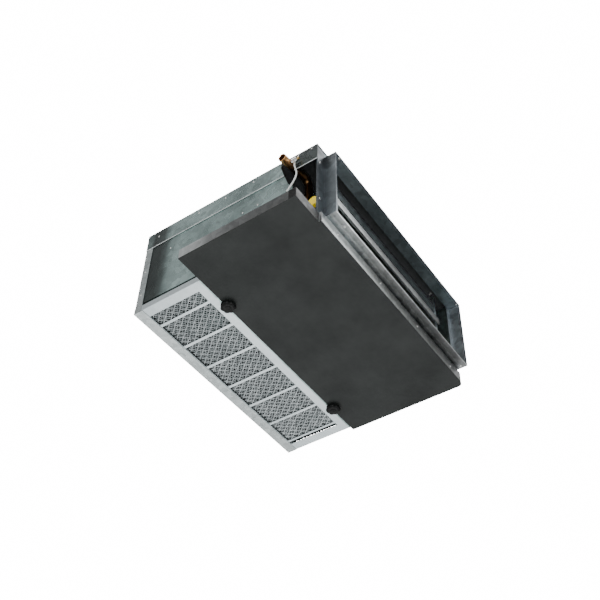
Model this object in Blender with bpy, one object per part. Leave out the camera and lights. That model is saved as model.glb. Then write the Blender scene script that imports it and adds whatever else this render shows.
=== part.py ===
"""Ceiling fan coil unit, concealed type, with a bottom return filter.

Axes: +X runs along the unit, away from the connection end; the discharge
collar faces -Y, the return end +Y, and +Z is up. The origin lies on the
upper face of the top cover, halfway along the bottom panel and halfway
between the collar's edge and the return end. All sizes are in metres.
"""

from math import cos, hypot, pi, radians, sin

import bmesh
import bpy
from mathutils import Vector

# Bottom panel and case
PANEL_LENGTH = 0.760
PANEL_DEPTH = 0.342
UNIT_HEIGHT = 0.303
CASE_DEPTH = 0.545
BAY_WIDTH = 0.086
RIGHT_REVEAL = 0.007
PANEL_LEAD = 0.011
COVER_LEAD = 0.0015
SHEET = 0.0012
GAP = 0.0003
COVER_FLANGE = 0.060
SIDE_LIFT = 0.034
SIDE_LAP = 0.012
CUT = 0.005

# Opening that the pipes leave by; its levels are drops from the top of the cover
WALL_FRONT = 0.071
NOTCH_BASE = 0.118
NOTCH_FRONT = 0.066
NOTCH_KNEE_Y = 0.086
NOTCH_KNEE_Z = 0.098
NOTCH_REAR = 0.108
NOTCH_SHOULDER = 0.023
NOTCH_TOP = 0.003

# Drain tray and the black sheet bonded under it
PAN_HIGH = 0.036
PAN_BAY_HIGH = 0.033
PAN_LOW = 0.028
PAN_JOG = 0.0065
PAN_JOG_END = 0.092
PAN_LIP = 0.0107
PAN_CORNER = 0.012
UNDERSIDE = 0.0025
SOCKET_RADIUS = 0.011
SOCKET_WALL = 0.002
SOCKET_LENGTH = 0.012
SOCKET_HEIGHT = 0.0155
SOCKET_INSET = 0.045

# Discharge collar and the plates that it is folded from
COLLAR_REACH = 0.035
COLLAR_BASE = 0.049
COLLAR_HEIGHT = 0.230
COLLAR_INSET_LEFT = 0.031
COLLAR_INSET_RIGHT = 0.0025
COLLAR_TURN = 0.013
PLATE_DROP = 0.029
PLATE_INSET = 0.004

# Return frame and its blanking panel
FRAME_DEPTH = 0.024
FRAME_LIP = 0.020
FRAME_BASE = 0.005
FILTER_LEDGE = 0.004

# Coil
COIL_LEFT = 0.205
COIL_RIGHT = 0.070
COIL_ROW_PITCH = 0.022
COIL_ROWS = 3
COIL_TUBE_PITCH = 0.0296
COIL_TUBES_HIGH = 6
COIL_BASE = 0.046
COIL_FRONT = 0.021
FIN_PITCH = 0.015
FIN_GROOVE = 0.003
TUBE_RADIUS = 0.0048
TUBE_STUB = 0.014
TUBE_ROOT = 0.004
TUBE_SLOT = 0.011
END_PLATE_LEAD = 0.004
END_PLATE_DROP = 0.008
CHANNEL_LEG = 0.012
RAIL_HEIGHT = 0.029
RAIL_LEVEL_OVER_COIL = 0.0035
RAIL_RETURN = 0.010
BRACE_HEIGHT = 0.021
BRACE_LEVEL = 0.186
BRACE_LEAD = 0.005
FILLER_END = 0.180
FILLER_LOW = 0.040
FILLER_TOP = 0.024
HEADER_INSET = 0.042
HEADER_RADIUS = 0.0125
HEADER_PAST = 0.012
PIPE_RADIUS = 0.011
PIPE_WALL = 0.001
OUTLET_Y = 0.082
OUTLET_DROP = 0.032
OUTLET_REACH = 0.033
OUTLET_RISE = 0.012
NUT_FLATS = 0.0125
NUT_LENGTH = 0.012
INLET_Y = 0.0225
INLET_Z = 0.113
INLET_NUT_INSET = 0.030
CAP_RADIUS = 0.0145
CAP_LENGTH = 0.012
CAP_WALL = 0.0016

# Fans and motor
WHEEL_RADIUS = 0.075
WHEEL_END = 0.009
WHEEL_RING = 0.003
WHEEL_DISC = 0.002
BLADE_COUNT = 20
BLADE_DEPTH = 0.013
BLADE_SKEW = 0.42
BLADE_FILL = 0.22
HUB_RADIUS = 0.013
HUB_WIDTH = 0.024
SHAFT_RADIUS = 0.006
SHAFT_FIT = 0.0004
FAN_CENTRE = 0.234
FAN_LEVEL = 0.165
FAN_END = 0.0645
MOTOR_BAY = 0.168
SCROLL_START = 0.007
SCROLL_GROWTH = 0.033
TONGUE_TURN = 0.44
INLET_RADIUS = 0.064
BULKHEAD_Y = 0.139
MOTOR_RADIUS = 0.052
MOTOR_LENGTH = 0.100
MOTOR_SHOULDER = 0.006
MOTOR_BOSS_RADIUS = 0.022
MOTOR_BOSS_LENGTH = 0.012
RING_THICKNESS = 0.006
RING_WIDTH = 0.010
SADDLE_EDGE = 0.010
SADDLE_SHEET = 0.002
SHAFT_PAST = 0.004

# Filter
FILTER_BASE = 0.0065
FILTER_HEIGHT = 0.0185
FILTER_STRIP = 0.028
FILTER_REAR_STRIP = 0.005
MESH_THICKNESS = 0.0012
MESH_EDGE = 0.004
GUIDE_SHEET = 0.0008
GUIDE_FOOT = 0.007
RIB_FIRST = 0.070
RIB_PITCH = 0.093
RIB_COUNT = 6
RIB_WIDTH = 0.008
RIB_THICKNESS = 0.002

# Cross rail, captive nuts and hand knobs
RAIL_LEDGE = 0.018
RAIL_FLANGE = 0.026
RAIL_WEB = 0.030
RAIL_TURN = 0.010
RAIL_LEVEL = 0.0304
KNOB_RADIUS = 0.020
KNOB_LOBES = 7
KNOB_LOBE_DEPTH = 0.0022
KNOB_HEIGHT = 0.011
KNOB_HUB_RADIUS = 0.011
KNOB_HUB_HEIGHT = 0.004
KNOB_STUD_RADIUS = 0.003
KNOB_STUD_REACH = 0.008
KNOB_EDGE = 0.008
KNOB_LEFT = 0.183
KNOB_RIGHT = 0.113
NUT_RADIUS = 0.0065
NUT_HEIGHT = 0.005
THREAD_CLEARANCE = 0.0006
HOLE_CLEARANCE = 0.001

# Hanger lugs
LUG_LENGTH = 0.060
LUG_WIDTH = 0.030
LUG_RISE = 0.012
LUG_FOOT = 0.018
LUG_SLOT_RADIUS = 0.0055
LUG_SLOT_LENGTH = 0.014
LUG_INSET_X = 0.060
LUG_INSET_Y = 0.070
LUG_SHEET = 0.0025

# Electrical box on the far side panel
BOX_LENGTH = 0.130
BOX_HEIGHT = 0.090
BOX_DEPTH = 0.036
BOX_REAR = 0.0060
BOX_LEVEL = 0.120
BOX_LIP = 0.010
GLAND_RADIUS = 0.009
GLAND_LENGTH = 0.016
GLAND_INSET = 0.014

# Air vent and its bleed hose
VENT_INSET = -0.008
VENT_RADIUS = 0.0055
VENT_HEIGHT = 0.016
VENT_SCREW_RADIUS = 0.0035
VENT_SCREW_HEIGHT = 0.006
HOSE_RADIUS = 0.0022
HOSE_SWING = 0.0196
HOSE_BOW = 0.009
HOSE_DROP = 0.090
HOSE_LEAD = 0.004

# Lining
FOAM = 0.006

# Fasteners
SCREW_RADIUS = 0.0038
SCREW_HEIGHT = 0.0016
PLATE_SCREW_INSET = 0.010
PLATE_SCREW_LOW = 0.100
PLATE_SCREW_HIGH = 0.240

# Levels and edges that follow from the sizes above
panel_left = -PANEL_LENGTH / 2
panel_right = PANEL_LENGTH / 2
case_left = panel_left + BAY_WIDTH
case_right = panel_right - RIGHT_REVEAL
case_front = (COLLAR_REACH - CASE_DEPTH) / 2
case_rear = case_front + CASE_DEPTH
floor = -UNIT_HEIGHT
panel_front = case_front - PANEL_LEAD
panel_rear = panel_front + PANEL_DEPTH
wall_left = case_left + SHEET + GAP
wall_right = case_right - SHEET - GAP
inner_left = wall_left + SHEET + GAP
inner_right = wall_right - SHEET - GAP
frame_front = case_rear - FRAME_DEPTH
wall_base = floor + SIDE_LIFT
collar_left = case_left + COLLAR_INSET_LEFT
collar_right = case_right - COLLAR_INSET_RIGHT
collar_base = floor + COLLAR_BASE
collar_top = collar_base + COLLAR_HEIGHT
collar_edge = case_front - COLLAR_REACH
coil_left = panel_left + COIL_LEFT
coil_right = panel_right - COIL_RIGHT
coil_front = case_front + COIL_FRONT
coil_depth = COIL_ROWS * COIL_ROW_PITCH
coil_rear = coil_front + coil_depth
coil_base = floor + COIL_BASE
coil_height = COIL_TUBES_HIGH * COIL_TUBE_PITCH
coil_top = coil_base + coil_height
header_x = coil_left - HEADER_INSET
return_y = coil_rear - COIL_ROW_PITCH / 2
outlet_y = case_front + OUTLET_Y
outlet_z = -OUTLET_DROP
outlet_end = case_left - OUTLET_REACH
elbow_radius = PIPE_RADIUS * 2
elbow_end = header_x - elbow_radius
outlet_lean = (outlet_y - return_y) / (elbow_end - outlet_end)
vent_x = case_left + VENT_INSET
vent_y = outlet_y - outlet_lean * (vent_x - outlet_end) - PIPE_RADIUS - GAP
fan_y = case_front + FAN_CENTRE
fan_z = floor + FAN_LEVEL
fan_x = (inner_left + inner_right) / 2
scroll_width = (inner_right - inner_left - MOTOR_BAY) / 2 - FAN_END
wheel_width = scroll_width - 2 * WHEEL_END
fan_spacing = scroll_width + MOTOR_BAY
bulkhead_y = case_front + BULKHEAD_Y
filter_base = floor + FILTER_BASE
filter_top = filter_base + FILTER_HEIGHT
filter_front = panel_rear + GAP + GUIDE_SHEET + GAP
filter_rear = frame_front - GAP
rail_z = floor + RAIL_LEVEL
knob_places = (panel_left + KNOB_LEFT, panel_right - KNOB_RIGHT)
knob_y = panel_rear - KNOB_EDGE


def clear_scene():
    """Remove every object and every mesh, curve and material left over."""
    for obj in list(bpy.data.objects):
        bpy.data.objects.remove(obj, do_unlink=True)
    for store in (bpy.data.meshes, bpy.data.curves, bpy.data.materials):
        for block in list(store):
            store.remove(block)


def make_material(name, colour, roughness, metallic):
    """A Principled material with one colour."""
    material = bpy.data.materials.new(name)
    material.use_nodes = True
    shader = material.node_tree.nodes["Principled BSDF"]
    shader.inputs["Base Color"].default_value = (*colour, 1.0)
    shader.inputs["Roughness"].default_value = roughness
    shader.inputs["Metallic"].default_value = metallic
    material.diffuse_color = (*colour, 1.0)
    return material


def add_object(name, mesh, material, smooth=False):
    """Link a mesh to the scene under its node's name."""
    obj = bpy.data.objects.new(name, mesh)
    bpy.context.scene.collection.objects.link(obj)
    mesh.materials.append(material)
    if smooth:
        mesh.shade_smooth()
        mesh.set_sharp_from_angle(angle=radians(35))
    return obj


def mesh_from(bm, name):
    """Turn a bmesh into a mesh with its faces pointing out."""
    bmesh.ops.recalc_face_normals(bm, faces=bm.faces)
    mesh = bpy.data.meshes.new(name)
    bm.to_mesh(mesh)
    bm.free()
    return mesh


def world_point(axis, u, v, w):
    """A point drawn at (u, v) on the plane where the world's axis equals w."""
    if axis == "X":
        return Vector((w, u, v))
    if axis == "Y":
        return Vector((u, w, v))
    return Vector((u, v, w))


def extrude_outline(bm, outline, axis, start, end):
    """Add a closed prism: an outline drawn across an axis, from start to end."""
    low = [bm.verts.new(world_point(axis, u, v, start)) for u, v in outline]
    high = [bm.verts.new(world_point(axis, u, v, end)) for u, v in outline]
    bm.faces.new(low)
    bm.faces.new(list(reversed(high)))
    count = len(outline)
    for i in range(count):
        j = (i + 1) % count
        bm.faces.new((low[i], high[i], high[j], low[j]))


def add_box(bm, low, high):
    """Add a box between two corners."""
    outline = [(low[0], low[1]), (high[0], low[1]), (high[0], high[1]), (low[0], high[1])]
    extrude_outline(bm, outline, "Z", low[2], high[2])


def fold_outline(line, thickness):
    """Outline of a folded sheet whose left side runs along an open line."""
    count = len(line)
    offset = []
    for i in range(count):
        normals = []
        for a, b in ((i - 1, i), (i, i + 1)):
            if a < 0 or b >= count:
                continue
            du = line[b][0] - line[a][0]
            dv = line[b][1] - line[a][1]
            size = hypot(du, dv)
            normals.append((dv / size, -du / size))
        nu = sum(n[0] for n in normals)
        nv = sum(n[1] for n in normals)
        scale = thickness / (nu * normals[0][0] + nv * normals[0][1])
        offset.append((line[i][0] + nu * scale, line[i][1] + nv * scale))
    return list(line) + list(reversed(offset))


def prism(name, outline, axis, start, end, material):
    """One closed prism as an object."""
    bm = bmesh.new()
    extrude_outline(bm, outline, axis, start, end)
    return add_object(name, mesh_from(bm, name), material)


def folded_sheet(name, line, axis, start, end, material, thickness=SHEET):
    """A folded sheet of constant section as an object."""
    return prism(name, fold_outline(line, thickness), axis, start, end, material)


def box(name, low, high, material):
    """A plate or block between two corners as an object."""
    bm = bmesh.new()
    add_box(bm, low, high)
    return add_object(name, mesh_from(bm, name), material)


def circle(radius, count, centre=(0.0, 0.0), phase=0.0):
    """Points round a circle."""
    turn = 2 * pi / count
    return [
        (centre[0] + radius * cos(phase + i * turn), centre[1] + radius * sin(phase + i * turn))
        for i in range(count)
    ]


def add_turned(bm, profile, axis, centre, count=24):
    """Add a turned body: a closed profile of (radius, depth) spun round an axis.

    Two points of the profile that lie on the axis close the body there.
    """
    rings = []
    for radius, depth in profile:
        if radius < 1e-7:
            rings.append([bm.verts.new(world_point(axis, *centre, depth))])
        else:
            points = circle(radius, count, centre)
            rings.append([bm.verts.new(world_point(axis, u, v, depth)) for u, v in points])
    total = len(rings)
    for i in range(total):
        ring = rings[i]
        other = rings[(i + 1) % total]
        if len(ring) == 1 and len(other) == 1:
            continue
        for k in range(count):
            n = (k + 1) % count
            if len(ring) == 1:
                bm.faces.new((ring[0], other[n], other[k]))
            elif len(other) == 1:
                bm.faces.new((ring[k], ring[n], other[0]))
            else:
                bm.faces.new((ring[k], ring[n], other[n], other[k]))


def turned(name, profile, axis, centre, material, count=24):
    """A turned body as an object."""
    bm = bmesh.new()
    add_turned(bm, profile, axis, centre, count)
    return add_object(name, mesh_from(bm, name), material, smooth=True)


def rod_profile(radius, start, end):
    """Profile of a solid round bar."""
    return [(0, start), (radius, start), (radius, end), (0, end)]


def pipe_profile(outer, wall, start, end):
    """Profile of an open pipe."""
    return [(outer - wall, start), (outer, start), (outer, end), (outer - wall, end)]


def boolean(target, tool, operation):
    """Let a modifier cut the tool out of the target, or join it on."""
    tool.hide_render = True
    tool.display_type = "WIRE"
    modifier = target.modifiers.new(operation.title() + " " + tool.name, "BOOLEAN")
    modifier.operation = operation
    modifier.solver = "EXACT"
    modifier.object = tool


def cutter_box(name, low, high):
    """A box that only cuts or joins."""
    return box(name, low, high, guide_material)


def cutter_prism(name, outline, axis, start, end):
    """A prism that only cuts or joins."""
    return prism(name, outline, axis, start, end, guide_material)


def add_tube(bm, route, radius, count):
    """Add a round bar with flat ends that follows a route of points."""
    previous = None
    side = None
    total = len(route)
    for i in range(total):
        ahead = route[min(i + 1, total - 1)] - route[max(i - 1, 0)]
        ahead.normalize()
        if side is None:
            side = ahead.orthogonal().normalized()
        side = (side - ahead * side.dot(ahead)).normalized()
        other = ahead.cross(side)
        ring = []
        for k in range(count):
            turn = 2 * pi * k / count
            spot = route[i] + side * (radius * cos(turn)) + other * (radius * sin(turn))
            ring.append(bm.verts.new(spot))
        if previous is None:
            bm.faces.new(list(reversed(ring)))
        else:
            for k in range(count):
                n = (k + 1) % count
                bm.faces.new((previous[k], previous[n], ring[n], ring[k]))
        previous = ring
    bm.faces.new(previous)


def flatten(obj):
    """Shade a piece flat, for instance a hexagonal one."""
    for polygon in obj.data.polygons:
        polygon.use_smooth = False


def tube_object(name, routes, radius, material, count):
    """Round bars along a list of routes, each a body of its own."""
    bm = bmesh.new()
    for route in routes:
        add_tube(bm, route, radius, count)
    return add_object(name, mesh_from(bm, name), material, smooth=True)


def top_cover():
    """Top cover with its long sides folded down; cut back where the pipes leave."""
    line = [
        (case_left, -COVER_FLANGE),
        (case_left, 0.0),
        (case_right, 0.0),
        (case_right, -COVER_FLANGE),
    ]
    obj = folded_sheet("top_cover", line, "Y", case_front - COVER_LEAD, case_rear, galvanised)
    slope = (NOTCH_REAR - NOTCH_KNEE_Y) / (NOTCH_SHOULDER - NOTCH_KNEE_Z)
    low = COVER_FLANGE + CUT
    outline = [
        (case_front + NOTCH_FRONT, -low),
        (case_front + NOTCH_KNEE_Y + slope * (low - NOTCH_KNEE_Z), -low),
        (case_front + NOTCH_REAR, -NOTCH_SHOULDER),
        (case_front + NOTCH_REAR, -NOTCH_TOP),
        (case_front + NOTCH_FRONT, -NOTCH_TOP),
    ]
    tool = cutter_prism("cover_notch", outline, "X", case_left - CUT, case_left + SHEET + CUT)
    boolean(obj, tool, "DIFFERENCE")


def side_panels():
    """Side walls inside the cover's folds; the near one leaves the pipe bay open."""
    top = -SHEET - GAP
    rear = frame_front + SIDE_LAP
    near = [
        (case_front + WALL_FRONT, wall_base),
        (rear, wall_base),
        (rear, top),
        (case_front + NOTCH_REAR, top),
        (case_front + NOTCH_REAR, -NOTCH_SHOULDER),
        (case_front + NOTCH_KNEE_Y, -NOTCH_KNEE_Z),
        (case_front + WALL_FRONT, -NOTCH_BASE),
    ]
    prism("side_panel_left", near, "X", wall_left, wall_left + SHEET, galvanised)
    low = (wall_right - SHEET, case_front + SHEET + GAP, wall_base)
    box("side_panel_right", low, (wall_right, rear, top), galvanised)


def return_frame():
    """Four folded members round the return end and the panel that closes it."""
    lip_y = case_rear - SHEET - GAP
    top = -SHEET - GAP
    base = floor + FRAME_BASE
    line = [
        (case_rear, base + FRAME_LIP),
        (case_rear, base),
        (frame_front - FILTER_LEDGE, base),
    ]
    folded_sheet("frame_bottom", line, "X", case_left, case_right, galvanised)
    line = [(frame_front, top), (case_rear, top), (case_rear, top - FRAME_LIP)]
    folded_sheet("frame_top", line, "X", inner_left, inner_right, galvanised)
    low = base + SHEET + GAP
    high = -COVER_FLANGE - GAP
    line = [(case_left, frame_front), (case_left, lip_y), (case_left + FRAME_LIP, lip_y)]
    folded_sheet("frame_left", line, "Z", low, high, galvanised)
    line = [(case_right - FRAME_LIP, lip_y), (case_right, lip_y), (case_right, frame_front)]
    folded_sheet("frame_right", line, "Z", low, high, galvanised)
    rear = lip_y - SHEET - GAP
    corner = (case_left + SHEET + GAP, rear - SHEET, low)
    box("return_panel", corner, (wall_right, rear, top - SHEET - GAP), galvanised)


def discharge_collar():
    """Four folded plates that make the duct collar round the discharge."""
    plate_base = collar_base - PLATE_DROP
    plate_top = -SHEET - GAP
    line = [
        (collar_left, collar_edge),
        (collar_left, case_front),
        (case_left + PLATE_INSET, case_front),
    ]
    left = folded_sheet("collar_left", line, "Z", plate_base, plate_top, galvanised)
    for name, low, high in (
        ("collar_trim_low", plate_base - CUT, collar_base),
        ("collar_trim_high", collar_top, plate_top + CUT),
    ):
        corner = (collar_left - CUT, collar_edge - CUT, low)
        boolean(left, cutter_box(name, corner, (collar_left + CUT, case_front, high)), "DIFFERENCE")
    line = [
        (collar_right - COLLAR_TURN, case_front + SHEET),
        (collar_right, case_front + SHEET),
        (collar_right, collar_edge),
    ]
    low = collar_base + SHEET + GAP
    folded_sheet("collar_right", line, "Z", low, collar_top - SHEET - GAP, galvanised)
    start = collar_left + SHEET + GAP
    line = [(collar_edge, collar_top), (case_front, collar_top), (case_front, plate_top)]
    folded_sheet("collar_top", line, "X", start, collar_right, galvanised)
    line = [(case_front, plate_base), (case_front, collar_base), (collar_edge, collar_base)]
    folded_sheet("collar_bottom", line, "X", start, collar_right, galvanised)


def pan_outline(inset):
    """Plan of the drain tray, drawn in by an inset; one front corner is round."""
    left = panel_left + inset
    right = panel_right - inset
    front = panel_front + inset
    rear = panel_rear - inset
    jog = panel_left + PAN_JOG_END + inset
    radius = PAN_CORNER - inset
    points = [(left, rear), (left, front + PAN_JOG), (jog, front + PAN_JOG), (jog, front)]
    for i in range(5):
        turn = -pi / 2 + i * pi / 8
        centre_x = right - radius
        centre_y = front + radius
        points.append((centre_x + radius * cos(turn), centre_y + radius * sin(turn)))
    points.append((right, rear))
    return list(reversed(points))


def drain_tray():
    """Folded tray under the coil, its black underside and its threaded outlet."""
    base = floor + UNDERSIDE + GAP
    high = floor + PAN_HIGH
    tray = prism("drain_tray", pan_outline(0.0), "Z", base, high, galvanised)
    inside = cutter_prism("tray_inside", pan_outline(SHEET), "Z", base + SHEET, high + CUT)
    boolean(tray, inside, "DIFFERENCE")
    lower_rear = cutter_box(
        "tray_rear_trim",
        (panel_left + 2 * SHEET, panel_rear - 2 * SHEET, floor + PAN_LOW),
        (panel_right + CUT, panel_rear + CUT, high + CUT),
    )
    boolean(tray, lower_rear, "DIFFERENCE")
    lower_bay = cutter_box(
        "tray_bay_trim",
        (panel_left - CUT, panel_front - CUT, floor + PAN_BAY_HIGH),
        (panel_left + PAN_JOG_END - SHEET, panel_rear + CUT, high + CUT),
    )
    boolean(tray, lower_bay, "DIFFERENCE")
    lip = cutter_box(
        "tray_lip",
        (panel_left + PAN_JOG_END + SHEET / 2, panel_front + SHEET / 2, high - SHEET),
        (panel_right - PAN_CORNER, panel_front + PAN_LIP, high),
    )
    boolean(tray, lip, "UNION")
    place = (panel_rear - SOCKET_INSET, floor + SOCKET_HEIGHT)
    hole = turned(
        "tray_drain_hole",
        rod_profile(SOCKET_RADIUS - SOCKET_WALL, panel_right - SHEET - CUT, panel_right + CUT),
        "X", place, guide_material, 16,
    )
    boolean(tray, hole, "DIFFERENCE")
    for knob_x in knob_places:
        name = "tray_knob_hole_" + ("left" if knob_x < 0 else "right")
        profile = rod_profile(KNOB_STUD_RADIUS + HOLE_CLEARANCE, floor - CUT, base + SHEET + CUT)
        hole = turned(name, profile, "Z", (knob_x, knob_y), guide_material, 12)
        boolean(tray, hole, "DIFFERENCE")
    socket_end = panel_right - SHEET - GAP
    turned(
        "drain_socket",
        pipe_profile(SOCKET_RADIUS, SOCKET_WALL, socket_end - SOCKET_LENGTH, socket_end),
        "X", place, galvanised, 16,
    )
    sheet = prism("tray_underside", pan_outline(0.0), "Z", floor, floor + UNDERSIDE, coated)
    for knob_x in knob_places:
        name = "sheet_knob_hole_" + ("left" if knob_x < 0 else "right")
        profile = rod_profile(KNOB_STUD_RADIUS + HOLE_CLEARANCE, floor - CUT, base + SHEET + CUT)
        hole = turned(name, profile, "Z", (knob_x, knob_y), guide_material, 12)
        boolean(sheet, hole, "DIFFERENCE")


def hand_knobs():
    """Two lobed knobs whose studs run up into captive nuts on the cross rail."""
    stud_top = rail_z + SHEET + KNOB_STUD_REACH
    hub_base = floor - GAP - KNOB_HUB_HEIGHT
    for knob_x, name in zip(knob_places, ("knob_left", "knob_right")):
        bm = bmesh.new()
        rings = []
        steps = KNOB_LOBES * 4
        crown = KNOB_RADIUS * 0.72
        low = hub_base - KNOB_HEIGHT
        for radius, lobe, level in (
            (crown, 0.4, low),
            (KNOB_RADIUS, 1.0, low + KNOB_HEIGHT * 0.3),
            (KNOB_RADIUS, 1.0, hub_base),
        ):
            ring = []
            for i in range(steps):
                turn = 2 * pi * i / steps
                reach = radius - KNOB_LOBE_DEPTH * lobe * (1 - cos(KNOB_LOBES * turn)) / 2
                point = (knob_x + reach * cos(turn), knob_y + reach * sin(turn), level)
                ring.append(bm.verts.new(point))
            rings.append(ring)
        for lower, upper in zip(rings, rings[1:]):
            for i in range(steps):
                j = (i + 1) % steps
                bm.faces.new((lower[i], lower[j], upper[j], upper[i]))
        bm.faces.new(list(reversed(rings[0])))
        bm.faces.new(rings[-1])
        knob = add_object(name, mesh_from(bm, name), black_plastic, smooth=True)
        profile = [
            (0, hub_base - KNOB_HEIGHT / 2),
            (KNOB_HUB_RADIUS, hub_base - KNOB_HEIGHT / 2),
            (KNOB_HUB_RADIUS, floor - GAP),
            (KNOB_STUD_RADIUS, floor - GAP),
            (KNOB_STUD_RADIUS, stud_top),
            (0, stud_top),
        ]
        stem = turned(name + "_stem", profile, "Z", (knob_x, knob_y), guide_material, 18)
        boolean(knob, stem, "UNION")


def cross_rail():
    """Rail that carries the knobs' nuts and covers the filter's front edge."""
    line = [
        (panel_rear + RAIL_LEDGE, rail_z),
        (panel_rear - RAIL_FLANGE, rail_z),
        (panel_rear - RAIL_FLANGE, rail_z + RAIL_WEB),
        (panel_rear - RAIL_FLANGE + RAIL_TURN, rail_z + RAIL_WEB),
    ]
    rail = folded_sheet("cross_rail", line, "X", inner_left, inner_right, galvanised)
    for knob_x in knob_places:
        side = "left" if knob_x < 0 else "right"
        name = "rail_hole_" + side
        profile = rod_profile(KNOB_STUD_RADIUS + HOLE_CLEARANCE, rail_z - CUT, rail_z + CUT)
        hole = turned(name, profile, "Z", (knob_x, knob_y), guide_material, 12)
        boolean(rail, hole, "DIFFERENCE")
        low = rail_z + SHEET + GAP
        inner = KNOB_STUD_RADIUS + THREAD_CLEARANCE
        profile = pipe_profile(NUT_RADIUS, NUT_RADIUS - inner, low, low + NUT_HEIGHT)
        nut = turned("rail_nut_" + side, profile, "Z", (knob_x, knob_y), zinc, 12)
        flatten(nut)
    guide_y = panel_rear + GAP
    foot = filter_base - GAP
    line = [
        (guide_y, rail_z - GAP),
        (guide_y, foot - GUIDE_SHEET),
        (guide_y + GUIDE_FOOT, foot - GUIDE_SHEET),
    ]
    outline = fold_outline(list(reversed(line)), GUIDE_SHEET)
    prism("filter_guide", outline, "X", case_left, case_right, galvanised)


def filter_unit():
    """Sliding return filter: a folded frame, flat ribs and a mesh above them."""
    left = case_left
    right = case_right
    frame = box("filter_frame", (left, filter_front, filter_base), (right, filter_rear, filter_top),
                aluminium)
    inside = cutter_box(
        "filter_inside",
        (left + SHEET, filter_front + SHEET, filter_base + SHEET),
        (right - SHEET, filter_rear - SHEET, filter_top + CUT),
    )
    boolean(frame, inside, "DIFFERENCE")
    window = cutter_box(
        "filter_window",
        (left + FILTER_STRIP, filter_front + FILTER_STRIP, filter_base - CUT),
        (right - FILTER_STRIP, filter_rear - FILTER_REAR_STRIP, filter_base + CUT),
    )
    boolean(frame, window, "DIFFERENCE")
    for i in range(RIB_COUNT):
        centre = left + RIB_FIRST + i * RIB_PITCH
        rib = cutter_box(
            "filter_rib_" + str(i + 1),
            (centre - RIB_WIDTH / 2, filter_front + SHEET / 2, filter_base + SHEET / 2),
            (centre + RIB_WIDTH / 2, filter_rear - SHEET / 2, filter_base + RIB_THICKNESS),
        )
        boolean(frame, rib, "UNION")
    low = filter_base + RIB_THICKNESS + GAP
    box(
        "filter_mesh",
        (left + MESH_EDGE, filter_front + SHEET + GAP, low),
        (right - MESH_EDGE, filter_rear - SHEET - GAP, low + MESH_THICKNESS),
        mesh_metal,
    )


def coil_block():
    """Finned block drawn as a comb along the unit."""
    front = coil_front
    rear = coil_front + coil_depth
    points = []
    count = int((coil_right - coil_left) / FIN_PITCH)
    for i in range(count):
        x = coil_left + i * FIN_PITCH
        points.extend([
            (x, front),
            (x + FIN_PITCH - FIN_GROOVE, front),
            (x + FIN_PITCH - FIN_GROOVE, front + FIN_GROOVE),
            (x + FIN_PITCH, front + FIN_GROOVE),
        ])
    points.extend([(coil_right, front), (coil_right, rear)])
    for i in reversed(range(count)):
        x = coil_left + i * FIN_PITCH
        points.extend([
            (x + FIN_PITCH, rear - FIN_GROOVE),
            (x + FIN_PITCH - FIN_GROOVE, rear - FIN_GROOVE),
            (x + FIN_PITCH - FIN_GROOVE, rear),
            (x, rear),
        ])
    clean = []
    for point in points:
        if not clean or hypot(point[0] - clean[-1][0], point[1] - clean[-1][1]) > 1e-6:
            clean.append(point)
    core = prism("coil_core", clean, "Z", coil_base, coil_top, fin_metal)
    bm = bmesh.new()
    for route in bend_routes():
        add_tube(bm, route, TUBE_RADIUS, 8)
    bends = add_object("return_bends", mesh_from(bm, "return_bends"), copper, smooth=True)
    boolean(core, bends, "UNION")


def coil_end_plates():
    """Folded plates that carry the coil at its ends, slotted for each row of tubes."""
    top = -SHEET - GAP - FOAM - GAP
    low = coil_base - END_PLATE_DROP
    front = coil_front - END_PLATE_LEAD
    rear = coil_rear + END_PLATE_LEAD
    for name, web, side in (
        ("coil_end_plate_left", coil_left - GAP, -1),
        ("coil_end_plate_right", coil_right + GAP, 1),
    ):
        leg = web + side * CHANNEL_LEG
        line = [(leg, front), (web, front), (web, rear), (leg, rear)]
        outline = fold_outline(line, side * SHEET)
        plate = prism(name, outline, "Z", low, top, galvanised)
        for row in range(COIL_ROWS):
            y = tube_place(row, 0)[0]
            slot = cutter_box(
                name + "_slot_" + str(row + 1),
                (web - CUT, y - TUBE_SLOT / 2, coil_base + TUBE_SLOT / 2),
                (web + CUT, y + TUBE_SLOT / 2, coil_top - TUBE_SLOT / 2),
            )
            boolean(plate, slot, "DIFFERENCE")


def tube_place(row, level):
    """Centre of one coil tube in the plane across the unit."""
    y = coil_front + (row + 0.5) * COIL_ROW_PITCH
    z = coil_base + (level + 0.5) * COIL_TUBE_PITCH
    return y, z


def bend_route(first, second, face, side):
    """Half-turn between two tubes on one side of the coil."""
    start = Vector((0, *first))
    end = Vector((0, *second))
    middle = (start + end) / 2
    half = (end - start) / 2
    radius = half.length
    route = [Vector((face, *first))]
    for i in range(6):
        turn = pi * i / 5
        spot = middle - half * cos(turn)
        spot.x = face + side * (TUBE_STUB + radius * sin(turn))
        route.append(spot)
    route.append(Vector((face, *second)))
    return route


def bend_routes():
    """Return bends at both ends of the coil, rooted inside the finned block."""
    routes = []
    face_right = coil_right - TUBE_ROOT
    face_left = coil_left + TUBE_ROOT
    for level in range(0, COIL_TUBES_HIGH, 2):
        for row in range(COIL_ROWS):
            ends = (tube_place(row, level), tube_place(row, level + 1))
            routes.append(bend_route(*ends, face_right, 1))
        ends = (tube_place(0, level + 1), tube_place(1, level + 1))
        routes.append(bend_route(*ends, face_left, -1))
        ends = (tube_place(1, level), tube_place(2, level))
        routes.append(bend_route(*ends, face_left, -1))
    return routes


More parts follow.
